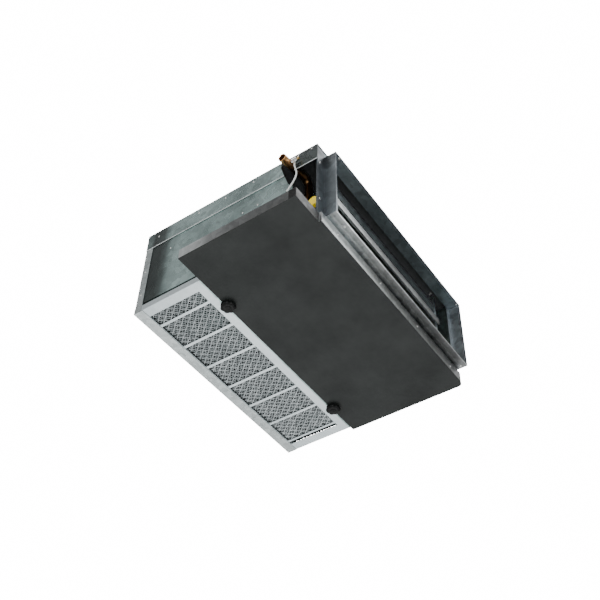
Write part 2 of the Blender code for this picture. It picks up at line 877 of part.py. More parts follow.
def coil_header(name, row, first_level):
    """Upright header with three branches into the coil."""
    x = header_x
    y = tube_place(row, 0)[0]
    low = tube_place(row, first_level)[1] - HEADER_PAST
    last = first_level + 2 * (COIL_TUBES_HIGH // 2 - 1)
    high = tube_place(row, last)[1] + HEADER_PAST
    header = turned(name, rod_profile(HEADER_RADIUS, low, high), "Z", (x, y), copper, 14)
    for level in range(first_level, COIL_TUBES_HIGH, 2):
        place = tube_place(row, level)
        profile = rod_profile(TUBE_RADIUS, x, coil_left - GAP - SHEET - GAP)
        branch = turned(name + "_branch_" + str(level), profile, "X", place, guide_material, 10)
        boolean(header, branch, "UNION")


def pipework():
    """Headers, the two connections, their nuts, the cap and the air vent."""
    coil_header("header_supply", 0, 0)
    coil_header("header_return", COIL_ROWS - 1, 1)
    z_top = tube_place(COIL_ROWS - 1, COIL_TUBES_HIGH - 1)[1] + HEADER_PAST + GAP
    elbow_z = outlet_z + OUTLET_RISE - elbow_radius
    route = [Vector((header_x, return_y, z_top))]
    for i in range(5):
        turn = pi / 2 * i / 4
        x = header_x - elbow_radius * (1 - cos(turn))
        route.append(Vector((x, return_y, elbow_z + elbow_radius * sin(turn))))
    route.append(Vector((outlet_end, outlet_y, outlet_z)))
    tube_object("pipe_return", [route], PIPE_RADIUS, copper, 14)
    inlet_y = case_front + INLET_Y
    inlet_z = floor + INLET_Z
    y_supply = tube_place(0, 0)[0]
    start = header_x - HEADER_RADIUS - GAP
    nut_x = case_left + INLET_NUT_INSET
    end = nut_x + NUT_LENGTH + GAP
    ease = (start - end) / 4
    route = [
        Vector((start, y_supply, inlet_z)),
        Vector((start - ease, y_supply, inlet_z)),
        Vector((end + ease, inlet_y, inlet_z)),
        Vector((end, inlet_y, inlet_z)),
    ]
    tube_object("pipe_supply", [route], PIPE_RADIUS, copper, 14)
    profile = rod_profile(NUT_FLATS * 1.1, nut_x, nut_x + NUT_LENGTH)
    nut = turned("nut_supply", profile, "X", (inlet_y, inlet_z), brass, 6)
    flatten(nut)
    low = nut_x - GAP - CAP_LENGTH
    profile = [
        (0, low),
        (CAP_RADIUS - 0.002, low),
        (CAP_RADIUS, low + 0.002),
        (CAP_RADIUS, nut_x - GAP),
        (CAP_RADIUS - CAP_WALL, nut_x - GAP),
        (CAP_RADIUS - CAP_WALL, low + CAP_WALL),
        (0, low + CAP_WALL),
    ]
    turned("cap_supply", profile, "X", (inlet_y, inlet_z), yellow_plastic, 18)
    profile = rod_profile(VENT_RADIUS, vent_y - VENT_HEIGHT, vent_y)
    vent = turned("air_vent", profile, "Y", (vent_x, outlet_z), zinc, 12)
    collar = rod_profile(VENT_RADIUS * 0.55, outlet_z - VENT_HEIGHT, outlet_z)
    spout = turned("air_vent_spout", collar, "Z", (vent_x, vent_y - VENT_HEIGHT / 2),
                   guide_material, 10)
    boolean(vent, spout, "UNION")
    face = vent_y - VENT_HEIGHT - GAP
    profile = rod_profile(VENT_SCREW_RADIUS, face - VENT_SCREW_HEIGHT, face)
    turned("air_vent_screw", profile, "Y", (vent_x, outlet_z), brass, 10)


def vent_hose():
    """Thin bleed hose that hangs from the air vent beside the side wall."""
    y = vent_y - VENT_HEIGHT / 2
    start = outlet_z - VENT_HEIGHT - GAP
    route = [Vector((vent_x, y, start))]
    for i in range(13):
        part = i / 12
        bow = HOSE_BOW * sin(pi * part) ** 1.4
        z = start - HOSE_LEAD - HOSE_DROP * part
        route.append(Vector((vent_x, y + HOSE_SWING * part ** 3 - bow, z)))
    tube_object("vent_hose", [route], HOSE_RADIUS, hose_plastic, 8)


def coil_rails():
    """Rail over the coil, the brace across its face and the filler beside it."""
    left = coil_left - GAP - SHEET - CHANNEL_LEG - GAP
    right = coil_right + GAP + SHEET + CHANNEL_LEG + GAP
    face = coil_front - END_PLATE_LEAD - GAP
    low = coil_top + RAIL_LEVEL_OVER_COIL
    line = [
        (face + RAIL_RETURN, low),
        (face, low),
        (face, low + RAIL_HEIGHT),
        (face + RAIL_RETURN, low + RAIL_HEIGHT),
    ]
    outline = fold_outline(list(reversed(line)), SHEET)
    prism("coil_rail", outline, "X", coil_left + GAP, coil_right - GAP, galvanised)
    low = floor + BRACE_LEVEL
    outer = face - BRACE_LEAD
    line = [
        (face, low),
        (outer, low),
        (outer, low + BRACE_HEIGHT),
        (face, low + BRACE_HEIGHT),
    ]
    outline = fold_outline(list(reversed(line)), SHEET)
    prism("coil_brace", outline, "X", left, right, galvanised)
    filler_y = case_front + SHEET + GAP
    corner = (inner_left, filler_y, floor + FILLER_LOW)
    end = (panel_left + FILLER_END, filler_y + SHEET, -FILLER_TOP)
    box("bay_filler", corner, end, galvanised)


def linings():
    """Black foam under the cover over the coil."""
    top = -SHEET - GAP
    corner = (inner_left, case_front + SHEET + GAP, top - FOAM)
    box("cover_foam", corner, (inner_right, bulkhead_y - GAP, top), foam)


def scroll_points(shrink):
    """Side view of a blower housing, drawn in by an amount."""
    low_z = fan_z - WHEEL_RADIUS - SCROLL_START - SCROLL_GROWTH + shrink
    outlet = bulkhead_y + SHEET + GAP
    start = -pi / 2
    end = pi + TONGUE_TURN
    points = [(outlet - (CUT if shrink else 0.0), low_z)]
    steps = 30
    for i in range(steps + 1):
        turn = start + (end - start) * i / steps
        reach = WHEEL_RADIUS + SCROLL_START + SCROLL_GROWTH * (1 - i / steps) - shrink
        points.append((fan_y + reach * cos(turn), fan_z + reach * sin(turn)))
    points.append((outlet - (CUT if shrink else 0.0), points[-1][1]))
    return points


def blower_housing(name, centre):
    """Spiral housing with an inlet in each side and an open outlet."""
    half = scroll_width / 2
    housing = prism(name, scroll_points(0.0), "X", centre - half, centre + half, galvanised)
    inside = cutter_prism(
        name + "_inside", scroll_points(SHEET), "X",
        centre - half + SHEET, centre + half - SHEET,
    )
    boolean(housing, inside, "DIFFERENCE")
    profile = rod_profile(INLET_RADIUS, centre - half - CUT, centre + half + CUT)
    holes = turned(name + "_inlets", profile, "X", (fan_y, fan_z), guide_material, 40)
    boolean(housing, holes, "DIFFERENCE")


def blower_wheel(name, centre):
    """Forward-curved wheel: end rings, blades and a middle disc with its hub."""
    bm = bmesh.new()
    half = wheel_width / 2
    disc = WHEEL_DISC / 2
    planes = [-half, -half + WHEEL_RING, -disc, disc, half - WHEEL_RING, half]
    pitch = 2 * pi / BLADE_COUNT
    inner = WHEEL_RADIUS - BLADE_DEPTH
    angles = []
    for k in range(BLADE_COUNT):
        angles.extend([k * pitch, k * pitch + pitch * BLADE_FILL])
    total = len(angles)

    def circle_at(radius, x, skew):
        """One circle of vertices at the blades' angles."""
        spots = []
        for turn in angles:
            y = fan_y + radius * cos(turn + skew)
            z = fan_z + radius * sin(turn + skew)
            spots.append(bm.verts.new((centre + x, y, z)))
        return spots

    inner_rings = [circle_at(inner, x, 0.0) for x in planes]
    outer_rings = [circle_at(WHEEL_RADIUS, x, BLADE_SKEW) for x in planes]

    def wall(rings, low, high, k):
        """One wall panel between two planes of a circle."""
        n = (k + 1) % total
        bm.faces.new((rings[low][k], rings[low][n], rings[high][n], rings[high][k]))

    def cell(plane, k):
        """One cell across the blades' depth on a plane."""
        n = (k + 1) % total
        bm.faces.new((inner_rings[plane][k], inner_rings[plane][n],
                      outer_rings[plane][n], outer_rings[plane][k]))

    for k in range(total):
        for low in (0, 4):
            wall(inner_rings, low, low + 1, k)
            wall(outer_rings, low, low + 1, k)
        wall(outer_rings, 2, 3, k)
        cell(0, k)
        cell(5, k)
        if k % 2:
            for plane in (1, 2, 3, 4):
                cell(plane, k)
        else:
            for low in (1, 3):
                wall(inner_rings, low, low + 1, k)
                wall(outer_rings, low, low + 1, k)
                n = (k + 1) % total
                for m in (k, n):
                    bm.faces.new((inner_rings[low][m], outer_rings[low][m],
                                  outer_rings[low + 1][m], inner_rings[low + 1][m]))
    hub = []
    for radius, x in (
        (HUB_RADIUS, -disc),
        (HUB_RADIUS, -HUB_WIDTH / 2),
        (SHAFT_RADIUS + GAP, -HUB_WIDTH / 2),
        (SHAFT_RADIUS + GAP, HUB_WIDTH / 2),
        (HUB_RADIUS, HUB_WIDTH / 2),
        (HUB_RADIUS, disc),
    ):
        hub.append(circle_at(radius, x, 0.0))
    chain = [inner_rings[2]] + hub + [inner_rings[3]]
    for ring, other in zip(chain, chain[1:]):
        for k in range(total):
            n = (k + 1) % total
            bm.faces.new((ring[k], ring[n], other[n], other[k]))
    add_object(name, mesh_from(bm, name), wheel_metal, smooth=True)


def fan_deck():
    """Partition behind the coil with an outlet for each blower."""
    top = -SHEET - GAP
    corner = (inner_left, bulkhead_y, wall_base)
    deck = box("fan_bulkhead", corner, (inner_right, bulkhead_y + SHEET, top), galvanised)
    points = scroll_points(SHEET)
    low = points[0][1]
    high = points[-1][1]
    half = scroll_width / 2 - SHEET
    for side in (-1, 1):
        centre = fan_x + side * fan_spacing / 2
        name = "outlet_" + ("left" if side < 0 else "right")
        hole = cutter_box(
            name,
            (centre - half, bulkhead_y - CUT, low),
            (centre + half, bulkhead_y + SHEET + CUT, high),
        )
        boolean(deck, hole, "DIFFERENCE")
        name = "blower_housing_" + ("left" if side < 0 else "right")
        blower_housing(name, centre)
        name = "blower_wheel_" + ("left" if side < 0 else "right")
        blower_wheel(name, centre)


def motor():
    """Motor on rubber rings in a saddle fixed to the partition, and its shaft."""
    half = MOTOR_LENGTH / 2
    boss = half + MOTOR_BOSS_LENGTH
    bore = SHAFT_RADIUS + SHAFT_FIT
    shoulder = MOTOR_SHOULDER
    place = (fan_y, fan_z)
    profile = [
        (bore, fan_x - boss),
        (MOTOR_BOSS_RADIUS, fan_x - boss),
        (MOTOR_BOSS_RADIUS, fan_x - half),
        (MOTOR_RADIUS - shoulder, fan_x - half),
        (MOTOR_RADIUS, fan_x - half + shoulder),
        (MOTOR_RADIUS, fan_x + half - shoulder),
        (MOTOR_RADIUS - shoulder, fan_x + half),
        (MOTOR_BOSS_RADIUS, fan_x + half),
        (MOTOR_BOSS_RADIUS, fan_x + boss),
        (bore, fan_x + boss),
    ]
    turned("fan_motor", profile, "X", place, black_paint, 24)
    ring_inner = MOTOR_BOSS_RADIUS + GAP
    for side in (-1, 1):
        middle = fan_x + side * (half + MOTOR_BOSS_LENGTH / 2)
        profile = pipe_profile(
            ring_inner + RING_THICKNESS, RING_THICKNESS,
            middle - RING_WIDTH / 2, middle + RING_WIDTH / 2,
        )
        name = "motor_ring_" + ("left" if side < 0 else "right")
        turned(name, profile, "X", place, rubber, 20)
    ring_outer = ring_inner + RING_THICKNESS + GAP
    wall_x = half + MOTOR_BOSS_LENGTH / 2
    reach = fan_y + ring_outer + SADDLE_EDGE
    base = bulkhead_y + SHEET + GAP
    plate = SADDLE_SHEET / 2
    line = [
        (fan_x - wall_x - plate, reach),
        (fan_x - wall_x - plate, base),
        (fan_x + wall_x + plate, base),
        (fan_x + wall_x + plate, reach),
    ]
    outline = fold_outline(line, -SADDLE_SHEET)
    half_height = ring_outer + SADDLE_EDGE
    saddle = prism("motor_saddle", outline, "Z", fan_z - half_height, fan_z + half_height,
                   galvanised)
    profile = rod_profile(ring_outer, fan_x - wall_x - CUT, fan_x + wall_x + CUT)
    hole = turned("saddle_bore", profile, "X", place, guide_material, 28)
    boolean(saddle, hole, "DIFFERENCE")
    reach = fan_spacing / 2 + HUB_WIDTH / 2 + SHAFT_PAST
    turned("fan_shaft", rod_profile(SHAFT_RADIUS, fan_x - reach, fan_x + reach), "X", place,
           bright_steel, 16)


def slot_outline(centre_x, centre_y, radius, length):
    """A slot with round ends, long along Y."""
    straight = length / 2 - radius
    points = []
    for step in range(14):
        turn = pi * step / 6 if step < 7 else pi * (step - 1) / 6
        shift = straight if step < 7 else -straight
        points.append((centre_x + radius * cos(turn), centre_y + shift + radius * sin(turn)))
    return points


def hanger_lugs():
    """Four raised lugs on the cover, slotted for hanging rods."""
    half = LUG_LENGTH / 2
    low = GAP
    high = LUG_RISE
    for end, centre_x in (
        ("left", case_left + LUG_INSET_X),
        ("right", case_right - LUG_INSET_X),
    ):
        for side, centre_y in (
            ("front", case_front + LUG_INSET_Y),
            ("rear", case_rear - LUG_INSET_Y),
        ):
            line = [
                (centre_x - half, low + LUG_SHEET),
                (centre_x - half + LUG_FOOT, low + LUG_SHEET),
                (centre_x - half + LUG_FOOT, high),
                (centre_x + half - LUG_FOOT, high),
                (centre_x + half - LUG_FOOT, low + LUG_SHEET),
                (centre_x + half, low + LUG_SHEET),
            ]
            outline = fold_outline(line, LUG_SHEET)
            front = centre_y - LUG_WIDTH / 2
            name = "hanger_lug_" + end + "_" + side
            lug = prism(name, outline, "Y", front, front + LUG_WIDTH, thick_steel)
            slot = slot_outline(centre_x, centre_y, LUG_SLOT_RADIUS, LUG_SLOT_LENGTH)
            tool = cutter_prism(name + "_slot", slot, "Z", high - LUG_SHEET - CUT / 2, high + CUT)
            boolean(lug, tool, "DIFFERENCE")


def terminal_box():
    """Electrical box on the far side wall, its lid and a cable gland."""
    x = wall_right + GAP
    y = frame_front - BOX_REAR - BOX_LENGTH
    z = floor + BOX_LEVEL
    low = (x, y, z)
    high = (x + BOX_DEPTH, y + BOX_LENGTH, z + BOX_HEIGHT)
    shell = box("terminal_box", low, high, galvanised)
    inside = cutter_box(
        "terminal_inside",
        (x + SHEET, y + SHEET, z + SHEET),
        (x + BOX_DEPTH + CUT, y + BOX_LENGTH - SHEET, z + BOX_HEIGHT - SHEET),
    )
    boolean(shell, inside, "DIFFERENCE")
    place = (x + GLAND_INSET, z + BOX_HEIGHT / 2)
    profile = rod_profile(GLAND_RADIUS * 0.6, y - CUT, y + SHEET + CUT)
    hole = turned("gland_hole", profile, "Y", place, guide_material, 16)
    boolean(shell, hole, "DIFFERENCE")
    lid_x = x + BOX_DEPTH + GAP
    line = [
        (lid_x - BOX_LIP, y - GAP - SHEET),
        (lid_x + SHEET, y - GAP - SHEET),
        (lid_x + SHEET, y + BOX_LENGTH + GAP + SHEET),
        (lid_x - BOX_LIP, y + BOX_LENGTH + GAP + SHEET),
    ]
    outline = fold_outline(line, -SHEET)
    prism("terminal_lid", outline, "Z", z, z + BOX_HEIGHT, galvanised)
    face = y - GAP
    profile = [
        (GLAND_RADIUS * 0.45, face),
        (GLAND_RADIUS, face),
        (GLAND_RADIUS, face - GLAND_LENGTH * 0.4),
        (GLAND_RADIUS * 0.8, face - GLAND_LENGTH * 0.5),
        (GLAND_RADIUS * 0.8, face - GLAND_LENGTH),
        (GLAND_RADIUS * 0.45, face - GLAND_LENGTH),
    ]
    turned("cable_gland", profile, "Y", place, black_plastic, 16)


def plate_screws():
    """Two screws that hold the front plate beside the collar."""
    x = case_left + PLATE_INSET + PLATE_SCREW_INSET
    face = case_front - GAP
    for name, level in (
        ("plate_screw_lower", PLATE_SCREW_LOW),
        ("plate_screw_upper", PLATE_SCREW_HIGH),
    ):
        profile = [
            (0, face),
            (SCREW_RADIUS, face),
            (SCREW_RADIUS * 0.85, face - SCREW_HEIGHT * 0.7),
            (0, face - SCREW_HEIGHT),
        ]
        turned(name, profile, "Y", (x, floor + level), zinc, 10)


clear_scene()
guide_material = make_material("Guide", (0.5, 0.5, 0.5), 0.5, 0.0)
galvanised = make_material("Galvanised steel", (0.52, 0.55, 0.55), 0.35, 1.0)
thick_steel = make_material("Thick galvanised steel", (0.50, 0.52, 0.52), 0.40, 1.0)
coated = make_material("Black underside", (0.035, 0.037, 0.036), 0.60, 0.0)
aluminium = make_material("Aluminium", (0.72, 0.74, 0.74), 0.35, 1.0)
mesh_metal = make_material("Expanded aluminium", (0.60, 0.62, 0.62), 0.40, 1.0)
fin_metal = make_material("Fin aluminium", (0.60, 0.63, 0.63), 0.35, 1.0)
wheel_metal = make_material("Wheel steel", (0.55, 0.57, 0.58), 0.35, 1.0)
zinc = make_material("Zinc fasteners", (0.70, 0.71, 0.70), 0.25, 1.0)
bright_steel = make_material("Bright steel", (0.62, 0.62, 0.62), 0.25, 1.0)
copper = make_material("Copper", (0.80, 0.42, 0.24), 0.30, 1.0)
brass = make_material("Brass", (0.75, 0.55, 0.25), 0.30, 1.0)
yellow_plastic = make_material("Yellow plastic", (0.80, 0.62, 0.06), 0.45, 0.0)
black_plastic = make_material("Black plastic", (0.02, 0.02, 0.02), 0.40, 0.0)
black_paint = make_material("Black paint", (0.03, 0.03, 0.03), 0.45, 0.0)
rubber = make_material("Rubber", (0.03, 0.03, 0.03), 0.80, 0.0)
foam = make_material("Foam lining", (0.02, 0.02, 0.02), 0.90, 0.0)
hose_plastic = make_material("Hose plastic", (0.75, 0.75, 0.72), 0.40, 0.0)

top_cover()
side_panels()
return_frame()
discharge_collar()
drain_tray()
hand_knobs()
cross_rail()
filter_unit()
coil_block()
coil_end_plates()
pipework()
vent_hose()
coil_rails()
linings()
fan_deck()
motor()
hanger_lugs()
terminal_box()
plate_screws()
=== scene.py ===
"""Looks of a concealed ceiling fan coil unit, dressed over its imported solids."""

import math
import random

import bmesh
import bpy
from mathutils import Matrix, Vector


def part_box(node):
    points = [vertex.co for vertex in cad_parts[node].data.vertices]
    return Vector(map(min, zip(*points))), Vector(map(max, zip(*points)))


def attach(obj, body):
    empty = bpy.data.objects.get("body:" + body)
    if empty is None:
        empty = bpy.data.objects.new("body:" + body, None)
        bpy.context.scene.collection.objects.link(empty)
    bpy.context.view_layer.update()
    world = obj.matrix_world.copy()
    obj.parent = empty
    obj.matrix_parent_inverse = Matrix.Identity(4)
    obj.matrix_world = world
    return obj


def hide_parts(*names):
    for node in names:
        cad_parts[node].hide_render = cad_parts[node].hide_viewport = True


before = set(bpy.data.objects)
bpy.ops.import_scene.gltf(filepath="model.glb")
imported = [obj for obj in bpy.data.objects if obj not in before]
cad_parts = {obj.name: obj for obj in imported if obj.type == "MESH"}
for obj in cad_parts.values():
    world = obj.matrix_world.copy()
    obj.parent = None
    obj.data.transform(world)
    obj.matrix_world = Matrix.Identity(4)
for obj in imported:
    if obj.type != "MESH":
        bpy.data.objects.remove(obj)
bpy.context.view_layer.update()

# Sizes shared with the solids, in metres
CASE_LEFT = -0.294
CASE_RIGHT = 0.373
WALL_LEFT = -0.2925
WALL_RIGHT = 0.3715
CASE_REAR = 0.290
FLOOR = -0.303
PANEL_FRONT = -0.266
COLLAR_BASE = -0.254

# Coil
COIL = ((-0.175, -0.234, -0.257), (0.310, -0.168, -0.0794))
COIL_ROWS = 3
COIL_LEVELS = 6
ROW_PITCH = 0.022
TUBE_PITCH = 0.0296
TUBE_RADIUS = 0.0048
TUBE_REACH = 0.014
TUBE_SIDES = 16
BEND_RADIUS = 0.0049
BEND_LEAD = 0.004
BEND_STEPS = 16
FIN_EDGE = 0.0006
FIN_PITCH = 0.0021
FIN_WAVER = 0.00025

# Copper stub, from its header to its open end
STUB_RADIUS = 0.011
STUB_HEADER = (-0.217, -0.179)
STUB_FOOT = 0.0123
STUB_BEND = 0.022
STUB_BEND_STEPS = 12
STUB_LEVEL = -0.020
STUB_STRAIGHT = 0.012
STUB_CORE = 0.0106
STUB_END = (-0.327, -0.173, -0.032)
STUB_WALL = 0.0016
BORE_DEPTH = 0.060

# Bleed hose
HOSE_RADIUS = 0.0022
HOSE_LEAD = 0.004
HOSE_DROP = 0.090
HOSE_BOW = 0.009
HOSE_SWING = 0.0196
HOSE_STEPS = 28

# Strands of the filter mesh, by layer: level over the plate's underside, pitch along X, pitch
# along Y, the two widths, and how far the pattern is shifted, in pitches
STRAND_LAYERS = (
    (0.0005, 0.0092, 0.0220, 0.0028, 0.0014, 0.0),
    (0.0040, 0.0052, 0.0086, 0.0020, 0.0015, 0.41),
)
STRAND_SECTION = ((-1, -0.0001), (1, -0.0004), (1, 0.0), (-1, 0.0003))
STRAND_CLEAR = 0.0003
STRAND_WAVE = 0.00030
STRAND_JITTER = 0.00004

# Fans and motor
FAN_Y = -0.021
FAN_Z = -0.138
FAN_CENTRES = (-0.1355, 0.2145)
WHEEL_RADIUS = 0.075
WHEEL_WIDTH = 0.164
WHEEL_STEPS = 80
HUB_STEPS = 64
BLADES = 40
BLADE_STEPS = 5
BLADE_DEPTH = 0.013
BLADE_THICK = 0.0006
BLADE_SWEEP = 0.42
MOTOR_X = 0.0395
MOTOR_STEPS = 56
BOLT_CIRCLE = 0.0365

# Knobs
KNOB_X = (-0.197, 0.267)
KNOB_Y = 0.068
KNOB_HEIGHT = 0.011
KNOB_LOBES = 7
LOBE_DEPTH = 0.0022
LOBE_STEPS = 10
KNOB_HUB = 0.0040
THREAD_PITCH = 0.001

# Rivets and screws, by radius
RIVET = 0.0031
SMALL_RIVET = 0.0027
WIDE_RIVET = 0.0034
SEAM_RIVET = 0.0030
LUG_SCREW = 0.0040
LUG_SHEET = 0.0025
LUG_SCREW_INSET = 0.009
LID_SCREW = 0.0026
LID_SCREW_INSET = (0.008, 0.010)
WALL_SCREW = 0.0032

# Folded edges
HEM_LEVEL = -0.0600
HEM_RADIUS = 0.0014
HEM_RUNS = ((-0.2560, -0.1895), (-0.1575, 0.2895))
SEAM_PROUD = 0.0009
SEAM_RUN = (-0.2870, 0.3670)
SEAM_LEVELS = (0.0030, 0.0195)
LIP_RUN = (0.3290, 0.3355)
LIP_DEPTH = 0.0020

# Bevels of folded sheet and of softer edges
FOLD = 0.0004
SOFT = 0.0006

# Zinc pattern: noise scales per metre, how far the crystals' edges wander, and the darkest crystal
WOBBLE_SCALE = 9.0
WOBBLE_REACH = (0.02, 0.02, 0.02)
CLOUD_SCALE = 5.5
ROLLING_SCALE = 40.0
ROLLING_STRETCH = (0.12, 1.0, 1.0)
CRYSTAL_DEPTH = 0.72

# Camera, in degrees, millimetres of lens and metres
CAMERA_TURN = 305.869
CAMERA_TILT = -45.909
CAMERA_ROLL = 1.66
CAMERA_LENS = 59.81
CAMERA_PLACE = (-1.4742, -1.0704, -2.0374)

# Studio; each light has its place, its aim, its side and its power
FLOOR_SIDE = 14.0
FLOOR_LEVEL = -2.75
BACKDROP = 16.0
LIGHTS = (
    ("Fill light", (-3.2, -1.6, -1.2), (0, 0, -0.15), 2.4, 90),
    ("Low light", (0.6, 0.4, -2.6), (0, 0, -0.3), 2.6, 20),
    ("Left sheen below", (1.5, 0.95, -2.45), (-0.2, -0.27, -0.26), 0.9, 6),
    ("Left sheen above", (1.1, -1.35, 1.9), (-0.2, -0.27, -0.26), 1.0, 8),
    ("Top light", (0.5, 0.8, 3.0), (0, 0, 0), 3.0, 120),
)

# Small irregularities come out the same in each run
random.seed(7)


# Materials

def new_material(name, metallic, roughness=0.5):
    """A material with its shader, ready for links."""
    material = bpy.data.materials.new(name)
    material.use_nodes = True
    tree = material.node_tree
    shader = tree.nodes["Principled BSDF"]
    shader.inputs["Metallic"].default_value = metallic
    shader.inputs["Roughness"].default_value = roughness
    return material, tree, shader


def ramp(tree, source, stops):
    """A colour ramp fed by one output."""
    node = tree.nodes.new("ShaderNodeValToRGB")
    elements = node.color_ramp.elements
    while len(elements) < len(stops):
        elements.new(0.5)
    for element, (place, colour) in zip(elements, stops):
        element.position = place
        element.color = (*colour, 1.0)
    tree.links.new(source, node.inputs["Fac"])
    return node.outputs["Color"]


def grey(value):
    """A neutral colour."""
    return (value, value, value)


def noise(tree, coords, scale, detail=3.0, rough=0.55, stretch=None):
    """Noise on object coordinates, stretched where asked."""
    if stretch is not None:
        mapping = tree.nodes.new("ShaderNodeMapping")
        mapping.inputs["Scale"].default_value = stretch
        tree.links.new(coords, mapping.inputs["Vector"])
        coords = mapping.outputs["Vector"]
    node = tree.nodes.new("ShaderNodeTexNoise")
    node.inputs["Scale"].default_value = scale
    node.inputs["Detail"].default_value = detail
    node.inputs["Roughness"].default_value = rough
    tree.links.new(coords, node.inputs["Vector"])
    return node.outputs["Fac"]


def mix(tree, kind, factor, first, second):
    """A colour mix of two outputs or colours."""
    node = tree.nodes.new("ShaderNodeMix")
    node.data_type = "RGBA"
    node.blend_type = kind
    if isinstance(factor, (int, float)):
        node.inputs[0].default_value = factor
    else:
        tree.links.new(factor, node.inputs[0])
    for socket, value in ((node.inputs[6], first), (node.inputs[7], second)):
        if isinstance(value, tuple):
            socket.default_value = (*value, 1.0)
        else:
            tree.links.new(value, socket)
    return node.outputs[2]


def to_range(tree, source, low, high):
    """A value from 0 to 1 taken to a range."""
    node = tree.nodes.new("ShaderNodeMapRange")
    node.inputs["To Min"].default_value = low
    node.inputs["To Max"].default_value = high
    tree.links.new(source, node.inputs["Value"])
    return node.outputs["Result"]


def bump(tree, shader, height, strength, distance):
    """Bump from one height output."""
    node = tree.nodes.new("ShaderNodeBump")
    node.inputs["Strength"].default_value = strength
    node.inputs["Distance"].default_value = distance
    tree.links.new(height, node.inputs["Height"])
    tree.links.new(node.outputs["Normal"], shader.inputs["Normal"])


def object_coords(tree):
    """Coordinates that stay with the object."""
    return tree.nodes.new("ShaderNodeTexCoord").outputs["Object"]


def along(tree, coords, axis, stops):
    """A tone that changes along one axis of the part, from (place in metres, tone) stops."""
    split = tree.nodes.new("ShaderNodeSeparateXYZ")
    tree.links.new(coords, split.inputs["Vector"])
    low, high = stops[0][0], stops[-1][0]
    place = to_range(tree, split.outputs[axis], 0.0, 1.0)
    place.node.inputs["From Min"].default_value = low
    place.node.inputs["From Max"].default_value = high
    scaled = [((spot - low) / (high - low), grey(tone)) for spot, tone in stops]
    return ramp(tree, place, scaled)


def paint_shade_along(tree, coords, base, painted_shading):
    """Darken a colour along the part with painted shade, shadow and reflection bands; each tone is
    an axis, its stops, and where it applies.
    """
    for axis, stops, only in painted_shading:
        toned = mix(tree, "MULTIPLY", 1.0, base, along(tree, coords, axis, stops))
        factor = 1.0 if only is None else along(tree, coords, *only)
        base = mix(tree, "MIX", factor, base, toned)
    return base


def galvanised_material(name, light, dark, rough=(0.24, 0.46), cells=62.0, painted_shading=()):
    """Hot-dip galvanised sheet: crystal spangle, soft clouds, rolling lines, and painted shade and
    reflection bands along the part where given.
    """
    material, tree, shader = new_material(name, 1.0)
    coords = object_coords(tree)
    wobble = noise(tree, coords, WOBBLE_SCALE)
    warp = tree.nodes.new("ShaderNodeVectorMath")
    warp.operation = "MULTIPLY_ADD"
    tree.links.new(mix(tree, "MIX", 1.0, grey(0.0), wobble), warp.inputs[0])
    warp.inputs[1].default_value = WOBBLE_REACH
    tree.links.new(coords, warp.inputs[2])
    cell = tree.nodes.new("ShaderNodeTexVoronoi")
    cell.inputs["Scale"].default_value = cells
    tree.links.new(warp.outputs["Vector"], cell.inputs["Vector"])
    split = tree.nodes.new("ShaderNodeSeparateColor")
    tree.links.new(cell.outputs["Color"], split.inputs["Color"])
    clouds = noise(tree, coords, CLOUD_SCALE, 5.0, 0.6)
    lines = noise(tree, coords, ROLLING_SCALE, 2.0, 0.5, ROLLING_STRETCH)
    base = ramp(tree, clouds, ((0.30, dark), (0.70, light)))
    spangle = ramp(tree, split.outputs["Red"], ((0.0, grey(CRYSTAL_DEPTH)), (1.0, grey(1.0))))
    base = mix(tree, "MULTIPLY", 1.0, base, spangle)
    base = paint_shade_along(tree, coords, base, painted_shading)
    tree.links.new(base, shader.inputs["Base Color"])
    blend = mix(tree, "MIX", 0.45, split.outputs["Green"], clouds)
    tree.links.new(to_range(tree, blend, *rough), shader.inputs["Roughness"])
    height = mix(tree, "MIX", 0.5, split.outputs["Blue"], lines)
    bump(tree, shader, height, 0.10, 0.0004)
    return material


def plain_metal(name, light, dark, rough, scale, lift=0.10, painted_shading=()):
    """Smooth metal with a faint cloudy tint, and painted shade along the part where given."""
    material, tree, shader = new_material(name, 1.0)
    coords = object_coords(tree)
    clouds = noise(tree, coords, scale, 4.0, 0.6)
    base = paint_shade_along(tree, coords, ramp(tree, clouds, ((0.32, dark), (0.68, light))), painted_shading)
    tree.links.new(base, shader.inputs["Base Color"])
    fine = noise(tree, coords, scale * 9, 2.0)
    tree.links.new(to_range(tree, fine, *rough), shader.inputs["Roughness"])
    bump(tree, shader, fine, lift, 0.0002)
    return material


def dull_material(name, light, dark, rough, scale, grain, lift, depth, sheen=0.5):
    """Plastic, rubber, paint or foam with a cloudy tint and a grain."""
    material, tree, shader = new_material(name, 0.0)
    shader.inputs["Specular IOR Level"].default_value = sheen
    coords = object_coords(tree)
    clouds = noise(tree, coords, scale, 4.0, 0.6)
    tree.links.new(ramp(tree, clouds, ((0.30, dark), (0.72, light))), shader.inputs["Base Color"])
    fine = noise(tree, coords, grain, 3.0, 0.6)
    tree.links.new(to_range(tree, fine, *rough), shader.inputs["Roughness"])
    bump(tree, shader, fine, lift, depth)
    return material


PALE_ZINC = (0.52, 0.66, 0.64)
DEEP_ZINC = (0.28, 0.37, 0.36)
# Bright and white zinc are lifted copies of the zinc: their peaks are painted reflection, darkened
# along the parts by the painted shading
BRIGHT_ZINC = (0.64, 0.82, 0.80)
BRIGHT_ZINC_SHADE = (0.30, 0.40, 0.39)
WHITE_ZINC = (0.97, 1.0, 1.0)
WHITE_ZINC_SHADE = (0.74, 0.79, 0.80)

# Where painted shading holds: on the near side wall, on the tray's near end, and on the tray's
# front
NEAR_WALL = ("X", ((-0.300, 1.0), (-0.289, 1.0), (-0.288, 0.0), (0.400, 0.0)))
TRAY_END = ("X", ((-0.390, 1.0), (-0.378, 1.0), (-0.376, 0.0), (0.400, 0.0)))
TRAY_FRONT = ("Y", ((-0.300, 1.0), (-0.240, 1.0), (-0.238, 0.0), (0.100, 0.0)))
